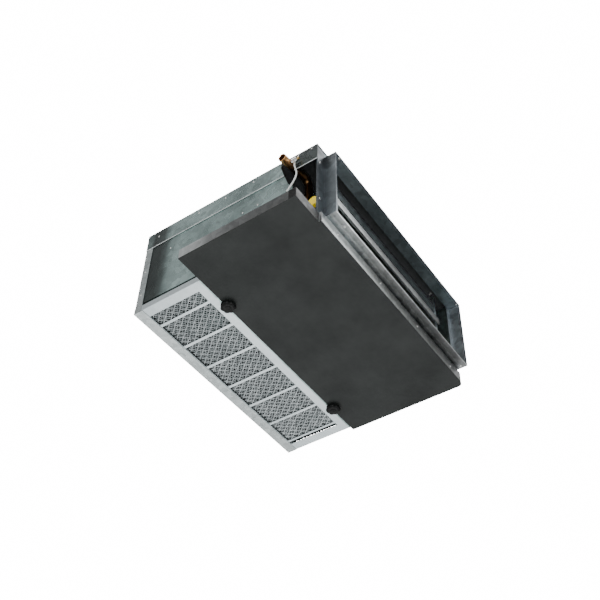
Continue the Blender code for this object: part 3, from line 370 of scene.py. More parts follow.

# Painted shade, shadow and reflection bands on the sheets: axis, then places in metres with their
# tone
# Painted reflection on the cover's near side: dark bands at the front and towards the rear end,
# bright between
COVER_PAINTED_SHADING = (
    ("Y", ((-0.262, 0.16), (-0.184, 0.13), (-0.174, 0.75), (-0.150, 1.0), (-0.100, 0.68),
           (0.040, 0.78), (0.205, 0.86), (0.228, 0.17), (0.262, 0.10), (0.270, 0.34),
           (0.292, 0.46)), NEAR_WALL),
)
# Painted reflection on the near side wall: darker at the front, a dark band towards the rear end
WALL_PAINTED_SHADING = (
    ("Y", ((-0.200, 0.62), (-0.130, 0.95), (-0.040, 0.76), (0.090, 0.86), (0.170, 1.0),
           (0.200, 0.70), (0.218, 0.24), (0.236, 0.11), (0.270, 0.10)), NEAR_WALL),
)
# Painted shade on the tray: its near end darker towards the front; its front near-black under the
# near extension, a painted shadow, then a painted reflection bright at the left fading to the
# right
TRAY_PAINTED_SHADING = (
    ("Y", ((-0.262, 0.10), (-0.160, 0.13), (-0.080, 0.19), (-0.010, 0.36), (0.030, 0.72),
           (0.080, 0.85)), TRAY_END),
    ("X", ((-0.390, 0.05), (-0.2895, 0.05), (-0.2875, 1.0), (-0.170, 0.95), (-0.110, 0.78),
           (-0.030, 0.50), (0.090, 0.32), (0.180, 0.27), (0.380, 0.24)), TRAY_FRONT),
)
# Painted reflection on the collar base, bright at the left fading to the right, with a painted
# shade band along its front part
FRONT_PAINTED_SHADING = (
    ("X", ((-0.300, 1.0), (-0.170, 0.95), (-0.110, 0.72), (-0.030, 0.50), (0.090, 0.42),
           (0.180, 0.40), (0.300, 0.40), (0.380, 0.55)), None),
    ("Y", ((-0.2902, 1.0), (-0.2886, 1.0), (-0.2880, 0.48), (-0.2770, 0.48), (-0.2700, 1.0),
           (-0.2500, 1.0)), None),
)
# Painted reflection on the coil brace, bright at the left, darker to the right
BRACE_PAINTED_SHADING = (
    ("X", ((-0.260, 1.0), (-0.150, 0.90), (-0.030, 0.42), (0.090, 0.22), (0.170, 0.38),
           (0.240, 0.30), (0.340, 0.22)), None),
)
# Painted reflection on the coil rail, bright at the left, darker to the right
RAIL_PAINTED_SHADING = (
    ("X", ((-0.260, 1.0), (-0.110, 0.75), (0.090, 0.45), (0.340, 0.36)), None),
)
# Painted shade on the collar's near plate: its upper part darkened
PLATE_PAINTED_SHADING = (
    ("Z", ((-0.290, 1.0), (-0.075, 1.0), (-0.040, 0.45), (0.010, 0.40)), None),
)
# Painted shadow on the filter mesh: a dark line along its rear edge and a dark slot at its far end
MESH_PAINTED_SHADOW = (
    ("Y", ((0.070, 1.0), (0.2565, 1.0), (0.2590, 0.20), (0.270, 0.12)), None),
    ("X", ((-0.300, 1.0), (0.3365, 1.0), (0.3380, 0.15), (0.3460, 0.15), (0.370, 0.15)), None),
)
# Painted shade on the copper: darker inside the near wall, where the bay is in shade
COPPER_PAINTED_SHADE = (
    ("X", ((-0.330, 1.0), (-0.300, 1.0), (-0.280, 0.16), (0.400, 0.12)), None),
)

# Zinc coated sheets
galvanised = galvanised_material("Galvanised sheet", PALE_ZINC, DEEP_ZINC)
# A darker copy of the zinc: painted shade on the collar's inner parts, the bay filler, the
# bulkhead, the blower housings and the motor saddle
galvanised_painted_shade = galvanised_material(
    "Galvanised sheet in the collar, painted shade", (0.32, 0.37, 0.39), (0.17, 0.20, 0.215), (0.30, 0.52))
# A lighter copy of the zinc: painted light on the frame's bottom and near rails, the coil end
# plates and the hanger lugs
galvanised_painted_light = galvanised_material(
    "Galvanised rail, painted light", (0.66, 0.72, 0.72), (0.52, 0.58, 0.58), (0.22, 0.40), 90.0)
cover_sheet = galvanised_material(
    "Cover sheet", BRIGHT_ZINC, BRIGHT_ZINC_SHADE, (0.20, 0.42), 62.0, COVER_PAINTED_SHADING)
wall_sheet = galvanised_material(
    "Side wall sheet", BRIGHT_ZINC, BRIGHT_ZINC_SHADE, (0.20, 0.42), 54.0, WALL_PAINTED_SHADING)
tray_sheet = galvanised_material(
    "Tray sheet", WHITE_ZINC, WHITE_ZINC_SHADE, (0.24, 0.44), 62.0, TRAY_PAINTED_SHADING)
front_sheet = galvanised_material(
    "Collar base sheet", WHITE_ZINC, WHITE_ZINC_SHADE, (0.24, 0.44), 70.0, FRONT_PAINTED_SHADING)
# The brace's white palette with its painted shading is a painted highlight along it
brace_sheet = galvanised_material(
    "Brace sheet", WHITE_ZINC, (0.78, 0.82, 0.83), (0.26, 0.44), 80.0, BRACE_PAINTED_SHADING)
rail_sheet = galvanised_material(
    "Rail sheet", (0.60, 0.66, 0.67), (0.42, 0.47, 0.48), (0.26, 0.44), 80.0, RAIL_PAINTED_SHADING)
# A darker copy of the zinc: painted shade on the collar's near plate
plate_sheet = galvanised_material(
    "Collar plate sheet", (0.36, 0.41, 0.44), (0.22, 0.25, 0.27), (0.28, 0.48), 62.0, PLATE_PAINTED_SHADING)
wing_sheet = galvanised_material(
    "Collar wing sheet", (0.62, 0.68, 0.71), (0.42, 0.46, 0.49), (0.28, 0.48), 62.0)
wheel_metal = galvanised_material(
    "Wheel sheet", (0.52, 0.54, 0.54), (0.38, 0.40, 0.40), (0.26, 0.44), 120.0)

# Other metals
# A brighter copy of the zinc: a painted highlight along the cover's rolled edge
hem_painted_highlight = plain_metal(
    "Hem", (0.90, 0.95, 0.94), (0.70, 0.76, 0.75), (0.26, 0.40), 40.0, 0.05)
filter_metal = plain_metal(
    "Filter frame aluminium", (0.70, 0.77, 0.79), (0.60, 0.67, 0.69), (0.34, 0.52), 14.0, 0.06)
mesh_metal = plain_metal(
    "Expanded mesh", (0.47, 0.51, 0.52), (0.30, 0.33, 0.34), (0.34, 0.54), 24.0, 0.10, MESH_PAINTED_SHADOW)
fin_metal = plain_metal("Fins", (0.62, 0.66, 0.66), (0.46, 0.50, 0.50), (0.25, 0.45), 90.0)
copper = plain_metal(
    "Copper tube", (0.96, 0.56, 0.26), (0.74, 0.38, 0.15), (0.20, 0.42), 55.0, 0.10, COPPER_PAINTED_SHADE)
bore_oxide = plain_metal("Dull bore", (0.10, 0.05, 0.03), (0.05, 0.03, 0.02), (0.60, 0.80), 60.0)
brass = plain_metal("Brass", (0.80, 0.60, 0.28), (0.62, 0.42, 0.16), (0.20, 0.38), 70.0, 0.08)
zinc = plain_metal("Zinc plate", (0.78, 0.79, 0.77), (0.62, 0.63, 0.62), (0.18, 0.34), 120.0, 0.05)
steel = plain_metal(
    "Ground steel", (0.62, 0.62, 0.61), (0.50, 0.50, 0.50), (0.16, 0.32), 120.0, 0.05)

# Paint, plastic, rubber and foam
black_sheet = dull_material(
    "Black underside", (0.022, 0.026, 0.025), (0.007, 0.009, 0.0085), (0.58, 0.74), 9.0, 900.0,
    0.20, 0.0002, sheen=0.35)
knob_plastic = dull_material(
    "Knob plastic", (0.006, 0.007, 0.007), (0.003, 0.0035, 0.0035), (0.30, 0.46), 60.0, 1600.0,
    0.12, 0.0001, sheen=0.14)
yellow_plastic = dull_material(
    "Yellow plastic", (0.98, 0.78, 0.025), (0.90, 0.62, 0.012), (0.34, 0.50), 70.0, 1200.0,
    0.12, 0.0001)
motor_paint = dull_material(
    "Motor paint", (0.045, 0.047, 0.048), (0.028, 0.030, 0.030), (0.38, 0.56), 40.0, 900.0,
    0.18, 0.0001)
rubber = dull_material(
    "Rubber", (0.030, 0.030, 0.030), (0.018, 0.018, 0.018), (0.66, 0.86), 80.0, 1400.0,
    0.20, 0.0001)
foam = dull_material(
    "Foam lining", (0.052, 0.056, 0.058), (0.034, 0.037, 0.038), (0.86, 0.98), 30.0, 700.0,
    0.70, 0.0006)
hose_plastic = dull_material(
    "Hose plastic", (0.80, 0.82, 0.80), (0.66, 0.68, 0.66), (0.30, 0.46), 90.0, 800.0,
    0.06, 0.0001)
floor_paint = dull_material(
    "Floor", (0.80, 0.80, 0.80), (0.76, 0.76, 0.76), (0.60, 0.75), 2.0, 60.0, 0.05, 0.0005)


# Mesh helpers

def add_to_scene(name, data):
    """A new object in the scene."""
    obj = bpy.data.objects.new(name, data)
    bpy.context.scene.collection.objects.link(obj)
    return obj


def finish_mesh(bm, name, material, body, smooth=True, replaces=()):
    """Make a piece of the scene from a bmesh and let it ride on a body."""
    bmesh.ops.recalc_face_normals(bm, faces=bm.faces)
    mesh = bpy.data.meshes.new(name)
    bm.to_mesh(mesh)
    bm.free()
    mesh.materials.append(material)
    if smooth:
        mesh.shade_smooth()
        mesh.set_sharp_from_angle(angle=math.radians(38))
    obj = add_to_scene(name, mesh)
    if replaces:
        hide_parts(*replaces)
    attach(obj, body)
    return obj


def add_bevel(obj, width):
    """Round the edges of a piece."""
    modifier = obj.modifiers.new("Edges", "BEVEL")
    modifier.width = width
    modifier.segments = 2
    modifier.limit_method = "ANGLE"
    modifier.angle_limit = math.radians(32)


def block(bm, low, high):
    """Add a box between two corners."""
    made = bmesh.ops.create_cube(bm, size=1.0)
    size = Vector(high) - Vector(low)
    middle = (Vector(high) + Vector(low)) / 2
    for vert in made["verts"]:
        vert.co = Vector((vert.co.x * size.x, vert.co.y * size.y, vert.co.z * size.z)) + middle
    return made["verts"]


def circle(bm, centre, side, other, radius, count):
    """A ring of points round a centre."""
    ring = []
    for i in range(count):
        turn = 2 * math.pi * i / count
        spot = centre + side * radius * math.cos(turn) + other * radius * math.sin(turn)
        ring.append(bm.verts.new(spot))
    return ring


def join_rings(bm, ring, after):
    """Faces between two rings of as many points."""
    count = len(ring)
    for i in range(count):
        j = (i + 1) % count
        bm.faces.new((ring[i], ring[j], after[j], after[i]))


def spin(bm, profile, origin, axis, count):
    """Add a turned form: a profile of (radius, depth) round an axis through a point."""
    axis = Vector(axis).normalized()
    side = axis.orthogonal().normalized()
    other = axis.cross(side)
    origin = Vector(origin)
    rings = []
    for radius, depth in profile:
        centre = origin + axis * depth
        if radius == 0:
            rings.append([bm.verts.new(centre)])
        else:
            rings.append(circle(bm, centre, side, other, radius, count))
    for ring, after in zip(rings, rings[1:]):
        if len(ring) == len(after):
            join_rings(bm, ring, after)
            continue
        for i in range(count):
            j = (i + 1) % count
            if len(ring) == 1:
                bm.faces.new((ring[0], after[j], after[i]))
            else:
                bm.faces.new((ring[i], ring[j], after[0]))
    return rings


def sweep(bm, route, radius, count):
    """Add a round bar with closed ends along a route of points."""
    previous = None
    side = None
    total = len(route)
    for i in range(total):
        ahead = (route[min(i + 1, total - 1)] - route[max(i - 1, 0)]).normalized()
        if side is None:
            side = ahead.orthogonal().normalized()
        side = (side - ahead * side.dot(ahead)).normalized()
        other = ahead.cross(side)
        ring = circle(bm, route[i], side, other, radius, count)
        if previous is None:
            bm.faces.new(list(reversed(ring)))
        else:
            join_rings(bm, previous, ring)
        previous = ring
    bm.faces.new(previous)


def dress(names, material, bevel):
    """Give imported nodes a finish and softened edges."""
    for name in names:
        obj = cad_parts[name]
        if not obj.material_slots:
            obj.data.materials.append(material)
        for entry in obj.material_slots:
            entry.material = material
        if bevel:
            add_bevel(obj, bevel)


# Camera, light and floor

def add_camera():
    """Camera at the photograph's viewing angle, fitted to the outline in it."""
    turn = math.radians(CAMERA_TURN)
    tilt = math.radians(CAMERA_TILT)
    roll = math.radians(CAMERA_ROLL)
    back = Vector((
        math.sin(turn) * math.cos(tilt),
        -math.cos(turn) * math.cos(tilt),
        math.sin(tilt),
    ))
    right = (-back).cross(Vector((0, 0, 1))).normalized()
    up = right.cross(-back).normalized()
    across = right * math.cos(roll) + up * math.sin(roll)
    above = up * math.cos(roll) - right * math.sin(roll)
    data = bpy.data.cameras.new("Camera")
    data.sensor_width = 36.0
    data.lens = CAMERA_LENS
    data.clip_start = 0.05
    data.clip_end = 60.0
    camera = add_to_scene("Camera", data)
    matrix = Matrix((across, above, back)).transposed().to_4x4()
    matrix.translation = Vector(CAMERA_PLACE)
    camera.matrix_world = matrix
    bpy.context.scene.camera = camera


def add_light(name, place, aim, side, power):
    """A soft square light."""
    data = bpy.data.lights.new(name, "AREA")
    data.shape = "RECTANGLE"
    data.size = side
    data.size_y = side
    data.energy = power
    light = add_to_scene(name, data)
    light.location = place
    facing = Vector(aim) - Vector(place)
    light.rotation_euler = facing.to_track_quat("-Z", "Y").to_euler()


def add_world():
    """White backdrop, with a studio that is dimmer at the front and towards the left."""
    world = bpy.data.worlds.new("Studio")
    bpy.context.scene.world = world
    world.use_nodes = True
    tree = world.node_tree
    shine = tree.nodes["Background"]
    coords = tree.nodes.new("ShaderNodeTexCoord")
    split = tree.nodes.new("ShaderNodeSeparateXYZ")
    tree.links.new(coords.outputs["Generated"], split.inputs["Vector"])
    parts = []
    for axis, stops in (
        ("X", ((0.22, grey(0.50)), (0.46, grey(0.72)), (0.62, grey(1.0)))),
        ("Y", ((0.26, grey(0.88)), (0.40, grey(0.94)), (0.56, grey(1.0)))),
    ):
        place = to_range(tree, split.outputs[axis], 0.0, 1.0)
        place.node.inputs["From Min"].default_value = -1.0
        parts.append(ramp(tree, place, stops))
    glow = mix(tree, "MULTIPLY", 1.0, parts[0], parts[1])
    ray = tree.nodes.new("ShaderNodeLightPath")
    seen = mix(tree, "MIX", ray.outputs["Is Camera Ray"], glow, grey(BACKDROP))
    tree.links.new(seen, shine.inputs["Color"])


def add_floor():
    """Plain pale floor well below the hanging unit."""
    bm = bmesh.new()
    corners = ((-1, -1), (1, -1), (1, 1), (-1, 1))
    bm.faces.new([
        bm.verts.new((x * FLOOR_SIDE, y * FLOOR_SIDE, FLOOR_LEVEL)) for x, y in corners])
    mesh = bpy.data.meshes.new("floor")
    bm.to_mesh(mesh)
    bm.free()
    mesh.materials.append(floor_paint)
    floor = add_to_scene("floor", mesh)


# Bleed hose, the one free cord

def bleed_hose():
    """Thin white hose that hangs from the air vent, bows out and hangs down."""
    low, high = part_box("air_vent")
    x = (low[0] + high[0]) / 2
    y = (low[1] + high[1]) / 2
    start = low[2] - 0.0003
    route = [Vector((x, y, start))]
    for i in range(HOSE_STEPS + 1):
        part = i / HOSE_STEPS
        bow = HOSE_BOW * math.sin(math.pi * part) ** 1.4
        z = start - HOSE_LEAD - HOSE_DROP * part
        route.append(Vector((x, y + HOSE_SWING * part ** 3 - bow, z)))
    curve = bpy.data.curves.new("bleed_hose", "CURVE")
    curve.dimensions = "3D"
    curve.bevel_depth = HOSE_RADIUS
    curve.bevel_resolution = 4
    curve.use_fill_caps = True
    spline = curve.splines.new("POLY")
    spline.points.add(len(route) - 1)
    for point, spot in zip(spline.points, route):
        point.co = (*spot, 1.0)
    spline.use_smooth = True
    curve.materials.append(hose_plastic)
    hose = add_to_scene("bleed_hose", curve)
    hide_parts("vent_hose")
    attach(hose, "root")


# Filter

def lattice_layer(bm, low, high, level, pitch_x, pitch_y, wide, narrow, shift):
    """One layer of expanded mesh: zigzag strands whose two slants differ in width."""
    columns = int((high[0] - low[0]) / pitch_x)
    rows = int((high[1] - low[1]) / (pitch_y / 2))
    across = (high[0] - low[0]) / columns
    along_y = (high[1] - low[1]) / rows
    for i in range(columns):
        for k in range(rows):
            ends = []
            for step in (k, k + 1):
                flip = 1 if (i + step) % 2 else -1
                x = low[0] + across * (i + 0.5 + shift) + flip * (across / 2 - STRAND_CLEAR)
                x = min(max(x, low[0]), high[0])
                y = low[1] + along_y * step
                wave = STRAND_WAVE * math.sin(x * 61 + shift) * math.sin(y * 47 + 1.3)
                jitter = random.uniform(-STRAND_JITTER, STRAND_JITTER)
                ends.append((x, y, level + wave + jitter))
            half = (wide if ends[1][0] > ends[0][0] else narrow) / 2
            first, last = [
                [bm.verts.new((x + side * half, y, z + lift)) for side, lift in STRAND_SECTION]
                for x, y, z in ends
            ]
            join_rings(bm, first, last)
            bm.faces.new(list(reversed(first)))
            bm.faces.new(last)


def filter_lattice():
    """Two layers of expanded aluminium mesh in place of the plain plate."""
    low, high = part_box("filter_mesh")
    bm = bmesh.new()
    for level, *pattern in STRAND_LAYERS:
        lattice_layer(bm, low, high, low[2] + level, *pattern)
    finish_mesh(bm, "filter_strands", mesh_metal, "filter", smooth=False,
                replaces=["filter_mesh"])


# Coil

def tube_spot(row, level, x):
    """Centre of a coil tube at one x."""
    y = COIL[0][1] + (row + 0.5) * ROW_PITCH
    z = COIL[0][2] + (level + 0.5) * TUBE_PITCH
    return Vector((x, y, z))


def coil_bend(first, second, face, side):
    """Half-turn between two coil tubes."""
    start = tube_spot(*first, face)
    end = tube_spot(*second, face)
    middle = (start + end) / 2
    half = (end - start) / 2
    lead = Vector((side * BEND_LEAD, 0, 0))
    route = [start - lead]
    for i in range(BEND_STEPS + 1):
        turn = math.pi * i / BEND_STEPS
        spot = middle - half * math.cos(turn)
        spot.x = face + side * (TUBE_REACH + half.length * math.sin(turn))
        route.append(spot)
    route.append(end - lead)
    return route


def coil_pieces():
    """Thin fins, straight tubes and return bends in place of the ribbed block."""
    low, high = Vector(COIL[0]), Vector(COIL[1])
    bm = bmesh.new()
    count = int((high.x - low.x) / FIN_PITCH)
    for i in range(count + 1):
        x = low.x + (high.x - low.x - FIN_EDGE) * i / count
        waver = random.uniform(-FIN_WAVER, FIN_WAVER)
        verts = block(bm, (x, low.y, low.z), (x + FIN_EDGE, high.y, high.z))
        for vert in verts:
            if vert.co.y < low.y + 0.001:
                vert.co.x = min(max(vert.co.x + waver, low.x), high.x)
    finish_mesh(bm, "coil_fins", fin_metal, "root", smooth=False,
                replaces=["coil_core"])
    bm = bmesh.new()
    for row in range(COIL_ROWS):
        for level in range(COIL_LEVELS):
            start = tube_spot(row, level, low.x - TUBE_REACH)
            end = tube_spot(row, level, high.x + TUBE_REACH)
            sweep(bm, [start, end], TUBE_RADIUS, TUBE_SIDES)
    for level in range(0, COIL_LEVELS, 2):
        bends = [coil_bend((row, level), (row, level + 1), high.x, 1) for row in range(COIL_ROWS)]
        bends.append(coil_bend((0, level + 1), (1, level + 1), low.x, -1))
        bends.append(coil_bend((1, level), (2, level), low.x, -1))
        for route in bends:
            sweep(bm, route, BEND_RADIUS, TUBE_SIDES)
    finish_mesh(bm, "coil_tubes", copper, "root", replaces=["coil_core"])


# Pipe stub with an open bore

def return_pipe():
    """Copper stub that leaves the header, bends and ends open outside the wall."""
    outlet = Vector(STUB_END)
    header_x, header_y = STUB_HEADER
    foot = tube_spot(0, COIL_LEVELS - 1, 0).z + STUB_FOOT
    route = [Vector((header_x, header_y, foot))]
    for i in range(STUB_BEND_STEPS + 1):
        turn = math.pi / 2 * i / STUB_BEND_STEPS
        x = header_x - STUB_BEND * (1 - math.cos(turn))
        route.append(Vector((x, header_y, STUB_LEVEL - STUB_BEND * (1 - math.sin(turn)))))
    inward = (route[-1] - outlet).normalized()
    route.append(outlet + inward * STUB_STRAIGHT)
    bore = STUB_RADIUS - STUB_WALL
    bm = bmesh.new()
    sweep(bm, route, STUB_CORE, 32)
    rings = spin(bm, (
        (bore, BORE_DEPTH),
        (bore, 0.0006),
        (STUB_RADIUS - 0.0012, 0.0),
        (STUB_RADIUS - 0.0004, 0.0),
        (STUB_RADIUS, 0.0005),
        (STUB_RADIUS, 0.0150),
        (STUB_RADIUS - 0.0005, 0.0165),
        (STUB_RADIUS - 0.0005, 0.0260),
    ), outlet, inward, 40)
    bm.faces.new(rings[0])
    finish_mesh(bm, "pipe_return_stub", copper, "root", replaces=["pipe_return"])
    bm = bmesh.new()
    spin(bm, (
        (bore, 0.0022),
        (bore - 0.0001, 0.0022),
        (bore - 0.0001, 0.0575),
        (0.0, 0.0575),
    ), outlet, inward, 40)
    finish_mesh(bm, "pipe_bore", bore_oxide, "root")


# Folded edges

def cover_hem():
    """Rolled hem along the cover's near fold, broken at the pipe notch."""
    bm = bmesh.new()
    x = CASE_LEFT - 0.0002
    for ends in HEM_RUNS:
        sweep(bm, [Vector((x, y, HEM_LEVEL)) for y in ends], HEM_RADIUS, 12)
    # The hem's brighter metal paints a highlight along the fold's edge
    finish_mesh(bm, "cover_hem", hem_painted_highlight, "root")


def tray_seam():
    """Lapped seam along the tray's front wall."""
    bm = bmesh.new()
    block(bm, (SEAM_RUN[0], PANEL_FRONT - SEAM_PROUD, FLOOR + SEAM_LEVELS[0]),
          (SEAM_RUN[1], PANEL_FRONT + 0.0004, FLOOR + SEAM_LEVELS[1]))
    seam = finish_mesh(bm, "tray_seam", tray_sheet, "tray", smooth=False)
    add_bevel(seam, FOLD)


def filter_lip():
    """Stamped lip beside the far end of the filter mesh."""
    low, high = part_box("filter_mesh")
    bm = bmesh.new()
    block(bm, (LIP_RUN[0], low[1], low[2] - LIP_DEPTH), (LIP_RUN[1], high[1], low[2] - 0.0002))
    lip = finish_mesh(bm, "filter_lip", filter_metal, "filter", smooth=False)
    add_bevel(lip, SOFT)


# Fans

def blade(bm, base, low_x, high_x, inner):
    """One curved blade between two places along the shaft."""
    before = None
    for i in range(BLADE_STEPS + 1):
        part = i / BLADE_STEPS
        radius = inner + (WHEEL_RADIUS - 0.0006 - inner) * part
        turn = base + BLADE_SWEEP * part ** 1.7
        ring = []
        for x, side in ((low_x, -1), (high_x, -1), (high_x, 1), (low_x, 1)):
            angle = turn + side * BLADE_THICK / 2 / radius
            y = FAN_Y + radius * math.cos(angle)
            z = FAN_Z + radius * math.sin(angle)
            ring.append(bm.verts.new((x, y, z)))
        if before:
            join_rings(bm, before, ring)
        else:
            bm.faces.new(list(reversed(ring)))
        before = ring
    bm.faces.new(before)


def fan_wheel(name, node, centre):
    """Forward-curved wheel with thin blades between two end rings."""
    bm = bmesh.new()
    half = WHEEL_WIDTH / 2
    outer = WHEEL_RADIUS
    inner = outer - BLADE_DEPTH
    for k in range(BLADES):
        base = 2 * math.pi * k / BLADES
        blade(bm, base, centre + (-half + 0.001), centre - 0.001, inner)
        blade(bm, base, centre + 0.001, centre + (half - 0.001), inner)
    origin = (centre, FAN_Y, FAN_Z)
    for side in (-1, 1):
        edge = side * half
        rings = spin(bm, [
            (inner - 0.0005, edge - side * 0.003),
            (inner - 0.0005, edge),
            (outer - 0.0004, edge),
            (outer, edge - side * 0.0004),
            (outer, edge - side * 0.003),
            (outer - 0.0007, edge - side * 0.003),
            (outer - 0.0007, edge - side * 0.0007),
            (inner + 0.0002, edge - side * 0.0007),
            (inner + 0.0002, edge - side * 0.003),
        ], origin, (1, 0, 0), WHEEL_STEPS)
        join_rings(bm, rings[-1], rings[0])
    rings = spin(bm, [
        (0.0063, -0.012), (0.0125, -0.012), (0.013, -0.0115), (0.013, -0.001),
        (0.030, -0.001), (0.034, -0.004), (0.050, -0.004), (0.054, -0.001),
        (outer - 0.0004, -0.001), (outer, 0.0), (outer - 0.0004, 0.001),
        (0.0545, 0.001), (0.0505, -0.002), (0.0345, -0.002), (0.0305, 0.001),
        (0.013, 0.001), (0.013, 0.0115), (0.0125, 0.012), (0.0063, 0.012),
    ], origin, (1, 0, 0), HUB_STEPS)
    join_rings(bm, rings[-1], rings[0])
    finish_mesh(bm, name, wheel_metal, "fan_rotor", replaces=[node])


def motor_pieces():
    """Motor with two end shields, a seam, ribs and through bolts."""
    bm = bmesh.new()
    half = [
        (0.0064, 0.062), (0.0210, 0.062), (0.0220, 0.061), (0.0220, 0.0515),
        (0.0240, 0.0500), (0.0300, 0.0500), (0.0310, 0.0485), (0.0420, 0.0485),
        (0.0430, 0.0500), (0.0462, 0.0500), (0.0500, 0.0478), (0.0520, 0.0440),
        (0.0520, 0.0300), (0.0512, 0.0296), (0.0512, 0.0284), (0.0520, 0.0280),
        (0.0520, 0.0020), (0.0512, 0.0010),
    ]
    profile = half + [(radius, -depth) for radius, depth in reversed(half)]
    rings = spin(bm, profile, (MOTOR_X, FAN_Y, FAN_Z), (1, 0, 0), MOTOR_STEPS)
    join_rings(bm, rings[-1], rings[0])
    bolt = ((0, 0.0480), (0.0035, 0.0480), (0.0035, 0.0508), (0.0028, 0.0515), (0, 0.0515))
    for k in range(4):
        turn = math.pi / 4 + math.pi / 2 * k
        y = FAN_Y + BOLT_CIRCLE * math.cos(turn)
        z = FAN_Z + BOLT_CIRCLE * math.sin(turn)
        for side in (-1, 1):
            spin(bm, bolt, (MOTOR_X, y, z), (side, 0, 0), 6)
    finish_mesh(bm, "motor_shell", motor_paint, "root", replaces=["fan_motor"])


# Knobs

def hand_knob(name, node, x, body):
    """Lobed knob with rounded edges, a raised hub and its stud."""
    low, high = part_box(node)
    base = low[2]
    height = KNOB_HEIGHT
    bm = bmesh.new()
    rings = []
    steps = KNOB_LOBES * LOBE_STEPS
    for radius, lobe, lift in (
        (0.0006, 0.30, 0.0012),
        (0.0090, 0.30, 0.0004),
        (0.0118, 0.55, 0.0000),
        (0.0160, 0.90, 0.0008),
        (0.0186, 1.00, 0.0024),
        (0.0198, 1.00, 0.0046),
        (0.0200, 1.00, 0.0065),
        (0.0200, 1.00, height - 0.0008),
        (0.0193, 1.00, height),
        (0.0006, 0.00, height),
    ):
        ring = []
        for i in range(steps):
            turn = 2 * math.pi * i / steps
            dip = LOBE_DEPTH * lobe * (0.5 - 0.5 * math.cos(KNOB_LOBES * turn)) ** 1.6
            reach = max(radius - dip, 0.0005) if radius > 0.005 else radius
            spot = (x + reach * math.cos(turn), KNOB_Y + reach * math.sin(turn), base + lift)
            ring.append(bm.verts.new(spot))
        rings.append(ring)
    for lower, upper in zip(rings, rings[1:]):
        join_rings(bm, lower, upper)
    bm.faces.new(list(reversed(rings[0])))
    bm.faces.new(rings[-1])
    origin = (x, KNOB_Y, base)
    spin(bm, (
        (0.0, 0.0008), (0.0030, 0.0006), (0.0036, -0.0002), (0.0068, -0.0004),
        (0.0076, 0.0002), (0.0078, 0.0012),
    ), origin, (0, 0, 1), 32)
    spin(bm, (
        (0.0108, height - 0.001), (0.0110, height), (0.0110, height + KNOB_HUB - 0.0003),
        (0.0106, height + KNOB_HUB), (0.0032, height + KNOB_HUB),
    ), origin, (0, 0, 1), 32)
    finish_mesh(bm, name, knob_plastic, body, replaces=[node])
    bm = bmesh.new()
    profile = [(0.0, height), (0.003, height)]
    top = high[2] - base
    turns = int((top - height - 0.006) / THREAD_PITCH)
    for k in range(turns):
        z = height + 0.0045 + k * THREAD_PITCH
        profile.append((0.0030, z))
        profile.append((0.0026, z + THREAD_PITCH / 2))
    profile.extend([(0.0030, top - 0.0006), (0.0024, top), (0.0, top)])
    spin(bm, profile, origin, (0, 0, 1), 20)
    finish_mesh(bm, name + "_stud", zinc, body)


# Rivets and screws

def rivet(bm, spot, normal, radius):
    """Low domed rivet head with a sunk middle."""
    spin(bm, (
        (0.0, 0.0004), (radius * 0.34, 0.0004), (radius * 0.40, 0.0009),
        (radius * 0.62, 0.0010), (radius * 0.86, 0.0007), (radius, 0.0001), (radius, -0.0003),
    ), spot, normal, 20)


def screw(bm, spot, normal, radius):
    """Hexagon washer-head screw."""
    spin(bm, (
        (radius * 1.35, -0.0003), (radius * 1.35, 0.0004), (radius * 1.22, 0.0007),
        (radius * 0.95, 0.0008),
    ), spot, normal, 24)
    spin(bm, (
        (0.0, 0.0024), (radius * 0.55, 0.0024), (radius * 0.62, 0.0034), (radius * 0.80, 0.0034),
        (radius * 0.92, 0.0029), (radius * 0.92, 0.0006),
    ), spot, normal, 6)


LUGS = ("hanger_lug_left_front", "hanger_lug_left_rear", "hanger_lug_right_front",
        "hanger_lug_right_rear")


def case_rivets():
    """Rivets where the photograph shows them, and along the hidden seams."""
    bm = bmesh.new()
    for y, z in (
        (0.2513, -0.0238), (0.1159, -0.0177), (0.0284, -0.0166), (-0.0605, -0.0140),
        (-0.1982, -0.0086), (-0.2388, -0.0080),
    ):
        rivet(bm, (CASE_LEFT, y, z), (-1, 0, 0), RIVET)
        rivet(bm, (CASE_RIGHT, y, z), (1, 0, 0), RIVET)
    for y, z in ((0.2015, -0.1005), (-0.0324, -0.1176), (-0.0788, -0.1171)):
        rivet(bm, (WALL_LEFT, y, z), (-1, 0, 0), SMALL_RIVET)
    rivet(bm, (WALL_RIGHT, -0.0324, -0.1176), (1, 0, 0), SMALL_RIVET)
    collar_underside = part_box("collar_top")[0][2]
    for x in (-0.2400, 0.3626):
        rivet(bm, (x, -0.2840, collar_underside), (0, 0, -1), WIDE_RIVET)
    for x, y in ((-0.211, -0.2786), (0.361, -0.2740)):
        rivet(bm, (x, y, COLLAR_BASE), (0, 0, -1), WIDE_RIVET)
    for z in (-0.060, -0.150, -0.235):
        rivet(bm, (CASE_LEFT, 0.278, z), (-1, 0, 0), SMALL_RIVET)
    for x in (-0.24, -0.02, 0.20, 0.34):
        for z in (-0.020, -0.284):
            rivet(bm, (x, CASE_REAR, z), (0, 1, 0), SEAM_RIVET)
    finish_mesh(bm, "case_rivets", zinc, "root")


def tray_rivets():
    """Rivets through the seam on the tray's front."""
    bm = bmesh.new()
    for x, z in ((0.3120, -0.2880), (0.1430, -0.2810), (-0.2200, -0.2830), (-0.0340, -0.2810)):
        rivet(bm, (x, PANEL_FRONT - SEAM_PROUD, z), (0, -1, 0), SEAM_RIVET)
    finish_mesh(bm, "tray_rivets", zinc, "tray")


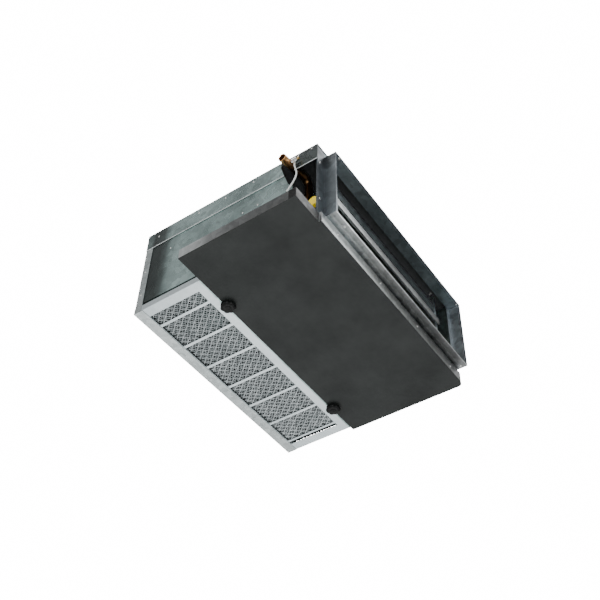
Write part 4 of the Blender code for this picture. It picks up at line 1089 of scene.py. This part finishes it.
def case_screws():
    """Screws of the lugs, the terminal lid, the far wall and the foam over the coil."""
    bm = bmesh.new()
    for node in LUGS:
        low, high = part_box(node)
        y = (low[1] + high[1]) / 2
        for x in (low[0] + LUG_SCREW_INSET, high[0] - LUG_SCREW_INSET):
            screw(bm, (x, y, low[2] + LUG_SHEET), (0, 0, 1), LUG_SCREW)
    low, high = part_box("terminal_lid")
    inset_y, inset_z = LID_SCREW_INSET
    for y in (low[1] + inset_y, high[1] - inset_y):
        for z in (low[2] + inset_z, high[2] - inset_z):
            screw(bm, (high[0], y, z), (1, 0, 0), LID_SCREW)
    for z in (-0.060, -0.150, -0.240):
        screw(bm, (WALL_RIGHT, -0.235, z), (1, 0, 0), WALL_SCREW)
    screw(bm, (0.3017, -0.2354, -0.0075), (0, 0, -1), WIDE_RIVET)
    finish_mesh(bm, "case_screws", zinc, "root")


# Making everything

FINISHES = (
    (galvanised, FOLD, (
        "side_panel_right", "return_panel", "frame_right", "frame_top", "terminal_box",
        "terminal_lid", "filter_guide", "cross_rail", "drain_socket")),
    (galvanised_painted_shade, FOLD, (
        "collar_top", "bay_filler", "fan_bulkhead", "blower_housing_left",
        "blower_housing_right", "motor_saddle")),
    (galvanised_painted_light, FOLD, (
        "frame_bottom", "frame_left", "coil_end_plate_left", "coil_end_plate_right", *LUGS)),
    (wing_sheet, FOLD, ("collar_right",)),
    (brace_sheet, FOLD, ("coil_brace",)),
    (rail_sheet, FOLD, ("coil_rail",)),
    (cover_sheet, FOLD, ("top_cover",)),
    (wall_sheet, FOLD, ("side_panel_left",)),
    (tray_sheet, FOLD, ("drain_tray",)),
    (front_sheet, FOLD, ("collar_bottom",)),
    (plate_sheet, SOFT, ("collar_left",)),
    (filter_metal, FOLD, ("filter_frame",)),
    (black_sheet, SOFT, ("tray_underside",)),
    (foam, 0.0, ("cover_foam",)),
    (copper, 0.0, ("header_supply", "header_return", "pipe_supply")),
    (brass, 0.0005, ("nut_supply", "air_vent_screw")),
    (zinc, 0.0003, (
        "air_vent", "plate_screw_lower", "plate_screw_upper", "rail_nut_left",
        "rail_nut_right")),
    (yellow_plastic, SOFT, ("cap_supply",)),
    (knob_plastic, FOLD, ("cable_gland",)),
    (rubber, SOFT, ("motor_ring_left", "motor_ring_right")),
    (steel, FOLD, ("fan_shaft",)),
)

add_camera()
bleed_hose()
add_world()
add_floor()
for light in LIGHTS:
    add_light(*light)
for finish, bevel, names in FINISHES:
    dress(names, finish, bevel)

filter_lattice()
coil_pieces()
return_pipe()
for side, centre in zip(("left", "right"), FAN_CENTRES):
    fan_wheel("wheel_" + side, "blower_wheel_" + side, centre)
motor_pieces()
for side, knob_x in zip(("left", "right"), KNOB_X):
    hand_knob("grip_" + side, "knob_" + side, knob_x, "knob_" + side)
case_rivets()
tray_rivets()
case_screws()
cover_hem()
tray_seam()
filter_lip()
